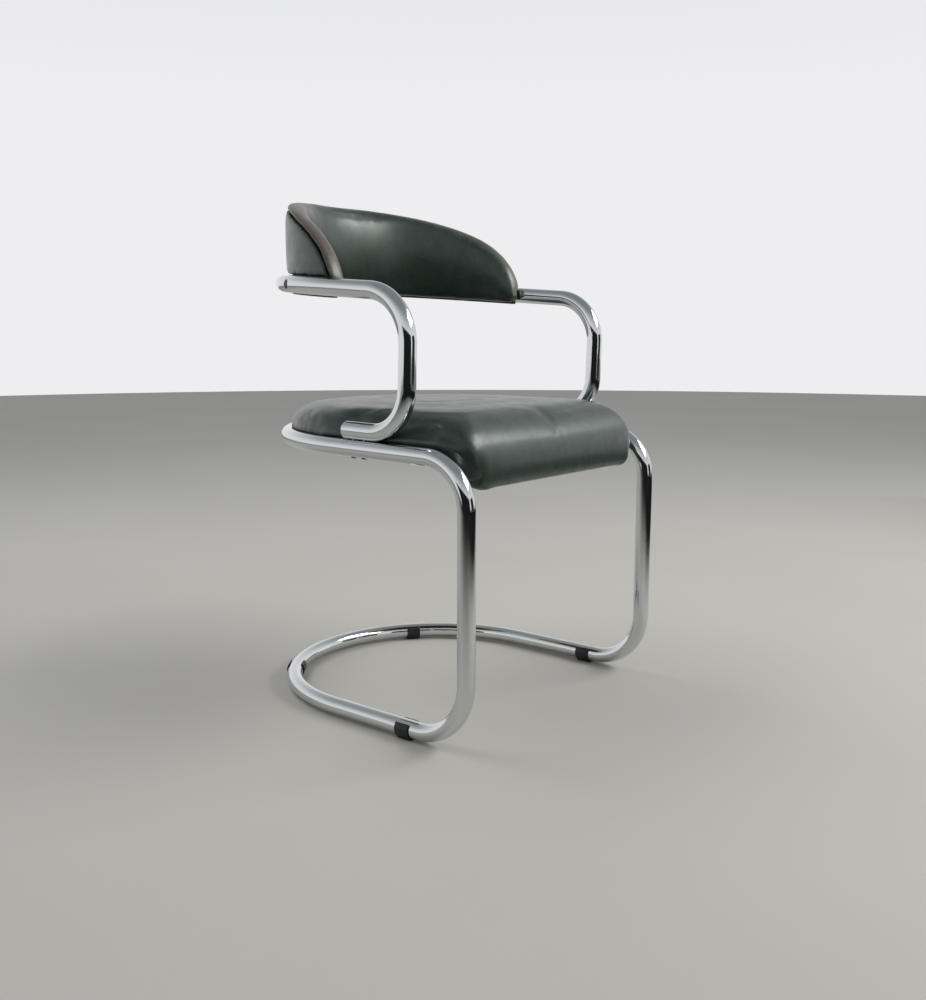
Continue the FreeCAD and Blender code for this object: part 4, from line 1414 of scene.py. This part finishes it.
@dataclass
class Studio:
    """Pale floor, soft light and the camera at the photograph's place."""

    camera_place: tuple[float, float, float] = (-1295.23, -1083.21, 559.33)
    yaw: float = -50.416
    pitch: float = -8.869
    roll: float = 0.06
    focal_pixels: float = 1066.41
    picture: tuple[int, int] = (926, 1000)
    axis_pixels: tuple[float, float] = (444.73, 499.55)
    sensor: float = 36.0
    floor_radius: float = 9000.0
    sky_strength: float = 1.0

    def camera(self) -> None:
        """Sets the camera that took the photograph."""
        width, height = self.picture
        data = bpy.data.cameras.new("camera")
        data.sensor_width = self.sensor
        data.lens = self.focal_pixels * self.sensor / max(width, height)
        data.shift_x = (width / 2 - self.axis_pixels[0]) / max(width, height)
        data.shift_y = (self.axis_pixels[1] - height / 2) / max(width, height)
        camera = bpy.data.objects.new("camera", data)
        camera.location = point(*self.camera_place)
        camera.rotation_euler = (math.radians(90 + self.pitch), math.radians(self.roll),
                                 math.radians(self.yaw))
        bpy.context.scene.collection.objects.link(camera)
        bpy.context.scene.camera = camera

    def floor(self) -> None:
        """Lays the floor."""
        bpy.ops.object.select_all(action="DESELECT")
        bpy.ops.mesh.primitive_circle_add(vertices=96, radius=self.floor_radius * MM,
                                          fill_type="NGON", location=(0, 0, 0))
        floor = start_piece("studio_floor")
        floor.data.materials.append(StudioFloor().build())

    def sky(self) -> None:
        """Makes the soft surroundings: one pale room, a little dimmer overhead."""
        world = bpy.data.worlds.new("studio")
        bpy.context.scene.world = world
        world.use_nodes = True
        tree = world.node_tree
        back = tree.nodes["Background"]
        parts = add(tree, "SeparateXYZ", {"Vector": add(tree, "TexCoord").outputs["Generated"]})
        overhead = add(tree, "MapRange", {"Value": parts.outputs["Z"]},
                       {"From Min": 0.15, "From Max": 0.9}, interpolation_type="SMOOTHSTEP")
        colour = blend(tree, overhead.outputs["Result"], "eeeef0", "878d91")
        tree.links.new(colour, back.inputs["Color"])
        back.inputs["Strength"].default_value = self.sky_strength
        bpy.context.scene.view_settings.view_transform = "Standard"

    def flag(self, name: str, place: tuple[float, float, float], size: tuple[float, float],
             facing: float, level: str, lying: bool = False, fade: float = 0.0) -> None:
        """Sets out a dark board that the camera doesn't see, as studios do for chrome.

        Args:
            name: its name.
            place: the middle of the board, in millimetres.
            size: its width and its height or depth, in millimetres.
            facing: the direction it faces, in degrees about the vertical.
            level: its colour.
            lying: whether it lies on the floor.
            fade: how deep its soft near edge is, in millimetres.
        """
        tip = 0.0 if lying else math.pi / 2
        bpy.ops.object.select_all(action="DESELECT")
        bpy.ops.mesh.primitive_plane_add(size=1.0, location=point(*place),
                                         rotation=(tip, 0, math.radians(facing)))
        bpy.context.active_object.scale = (size[0] * MM, size[1] * MM, 1.0)
        board = start_piece(name)
        material, tree, _ = start_material(name)
        surface = add(tree, "Emission", values={"Color": linear(level), "Strength": 1.0})
        if fade:
            away = Vector((-math.sin(math.radians(facing)), math.cos(math.radians(facing)), 0))
            start = away.dot(point(*place)) - size[1] / 2 * MM
            spots = add(tree, "TexCoord").outputs["Object"]
            reach = add(tree, "VectorMath", {0: spots}, {1: away}, operation="DOT_PRODUCT")
            share = add(tree, "MapRange", {"Value": reach.outputs["Value"]},
                        {"From Min": start, "From Max": start + fade * MM},
                        interpolation_type="SMOOTHSTEP")
            surface = add(tree, "MixShader", {0: share.outputs["Result"], 2: surface.outputs[0],
                                              1: add(tree, "BsdfTransparent").outputs[0]})
        tree.links.new(surface.outputs[0], tree.nodes["Material Output"].inputs["Surface"])
        board.data.materials.append(material)
        board.visible_camera = False
        board.visible_diffuse = not lying
        board.visible_shadow = not lying

    def lamp(self, name: str, place: tuple[float, float, float], target: tuple[float, float, float],
             size: tuple[float, float], power: float, mirrored: bool = True) -> None:
        """Hangs one soft rectangular lamp.

        Args:
            name: its name.
            place: where it is, in millimetres.
            target: the point it faces.
            size: its width and height, in millimetres.
            power: its power in watts.
            mirrored: whether its own shape shows in glossy surfaces.
        """
        data = bpy.data.lights.new(name, "AREA")
        data.shape = "RECTANGLE"
        data.size, data.size_y = size[0] * MM, size[1] * MM
        data.energy = power
        lamp = bpy.data.objects.new(name, data)
        lamp.location = point(*place)
        lamp.visible_glossy = mirrored
        lamp.rotation_euler = (point(*target) - point(*place)).to_track_quat("-Z", "Y").to_euler()
        bpy.context.scene.collection.objects.link(lamp)

    def build(self) -> None:
        """Sets up the whole studio."""
        self.camera()
        self.floor()
        self.sky()
        self.flag("room_flag", (-2900, -2400, 800), (7000, 1600), -50.4, "1e1e1e")
        self.flag("side_flag", (1900, -3900, 700), (3000, 1400), 20.0, "2a2a2a")
        self.flag("floor_flag", (-1650, -1370, 3), (6400, 3700), 129.6, "1c1d1d",
                  lying=True, fade=2000.0)
        self.flag("side_floor_flag", (1043, -1881, 4), (4400, 3200), 209.0, "1c1d1d",
                  lying=True, fade=1000.0)
        self.lamp("window_light", (1500, -2100, 2350), (0, 0, 450), (2600, 1000), 66.0)
        self.lamp("top_light", (-500, 1500, 2500), (0, 0, 450), (2600, 1400), 24.0, mirrored=False)


def main() -> None:
    """Builds the chair piece by piece and sets it in the studio."""
    logging.basicConfig(level=logging.INFO, format="%(name)s: %(message)s")
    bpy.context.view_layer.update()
    chrome = PolishedChrome().build()
    tubes = TubeFrame()
    tubes.build(chrome)
    zinc = ZincPlate().build()
    Fittings(tubes).build(chrome, zinc, MouldedPlastic().build())
    vinyl = LeatherclothVinyl("green_leathercloth_vinyl").build()
    SeatUnderside().build(Timber("birch_plywood", Ply.FLAT).build(),
                          Timber("sawn_beech", Ply.SOLID, "c9a57a", "a87f55").build(),
                          BondedCloth().build(), zinc)
    # painted shade: the shell's plies are coloured dark brown, far darker than birch, so that its
    # edge below the back rail shows as a dark line where shade falls between the pads
    dress_node("back_shell",
               Timber("moulded_plywood_painted_shade", Ply.CURVED, "4a3b2c", "2e241b").build())
    SeatCushion(tubes).build(vinyl)
    BackRest(tubes).build(vinyl)
    Studio().build()


if __name__ == "__main__":
    main()
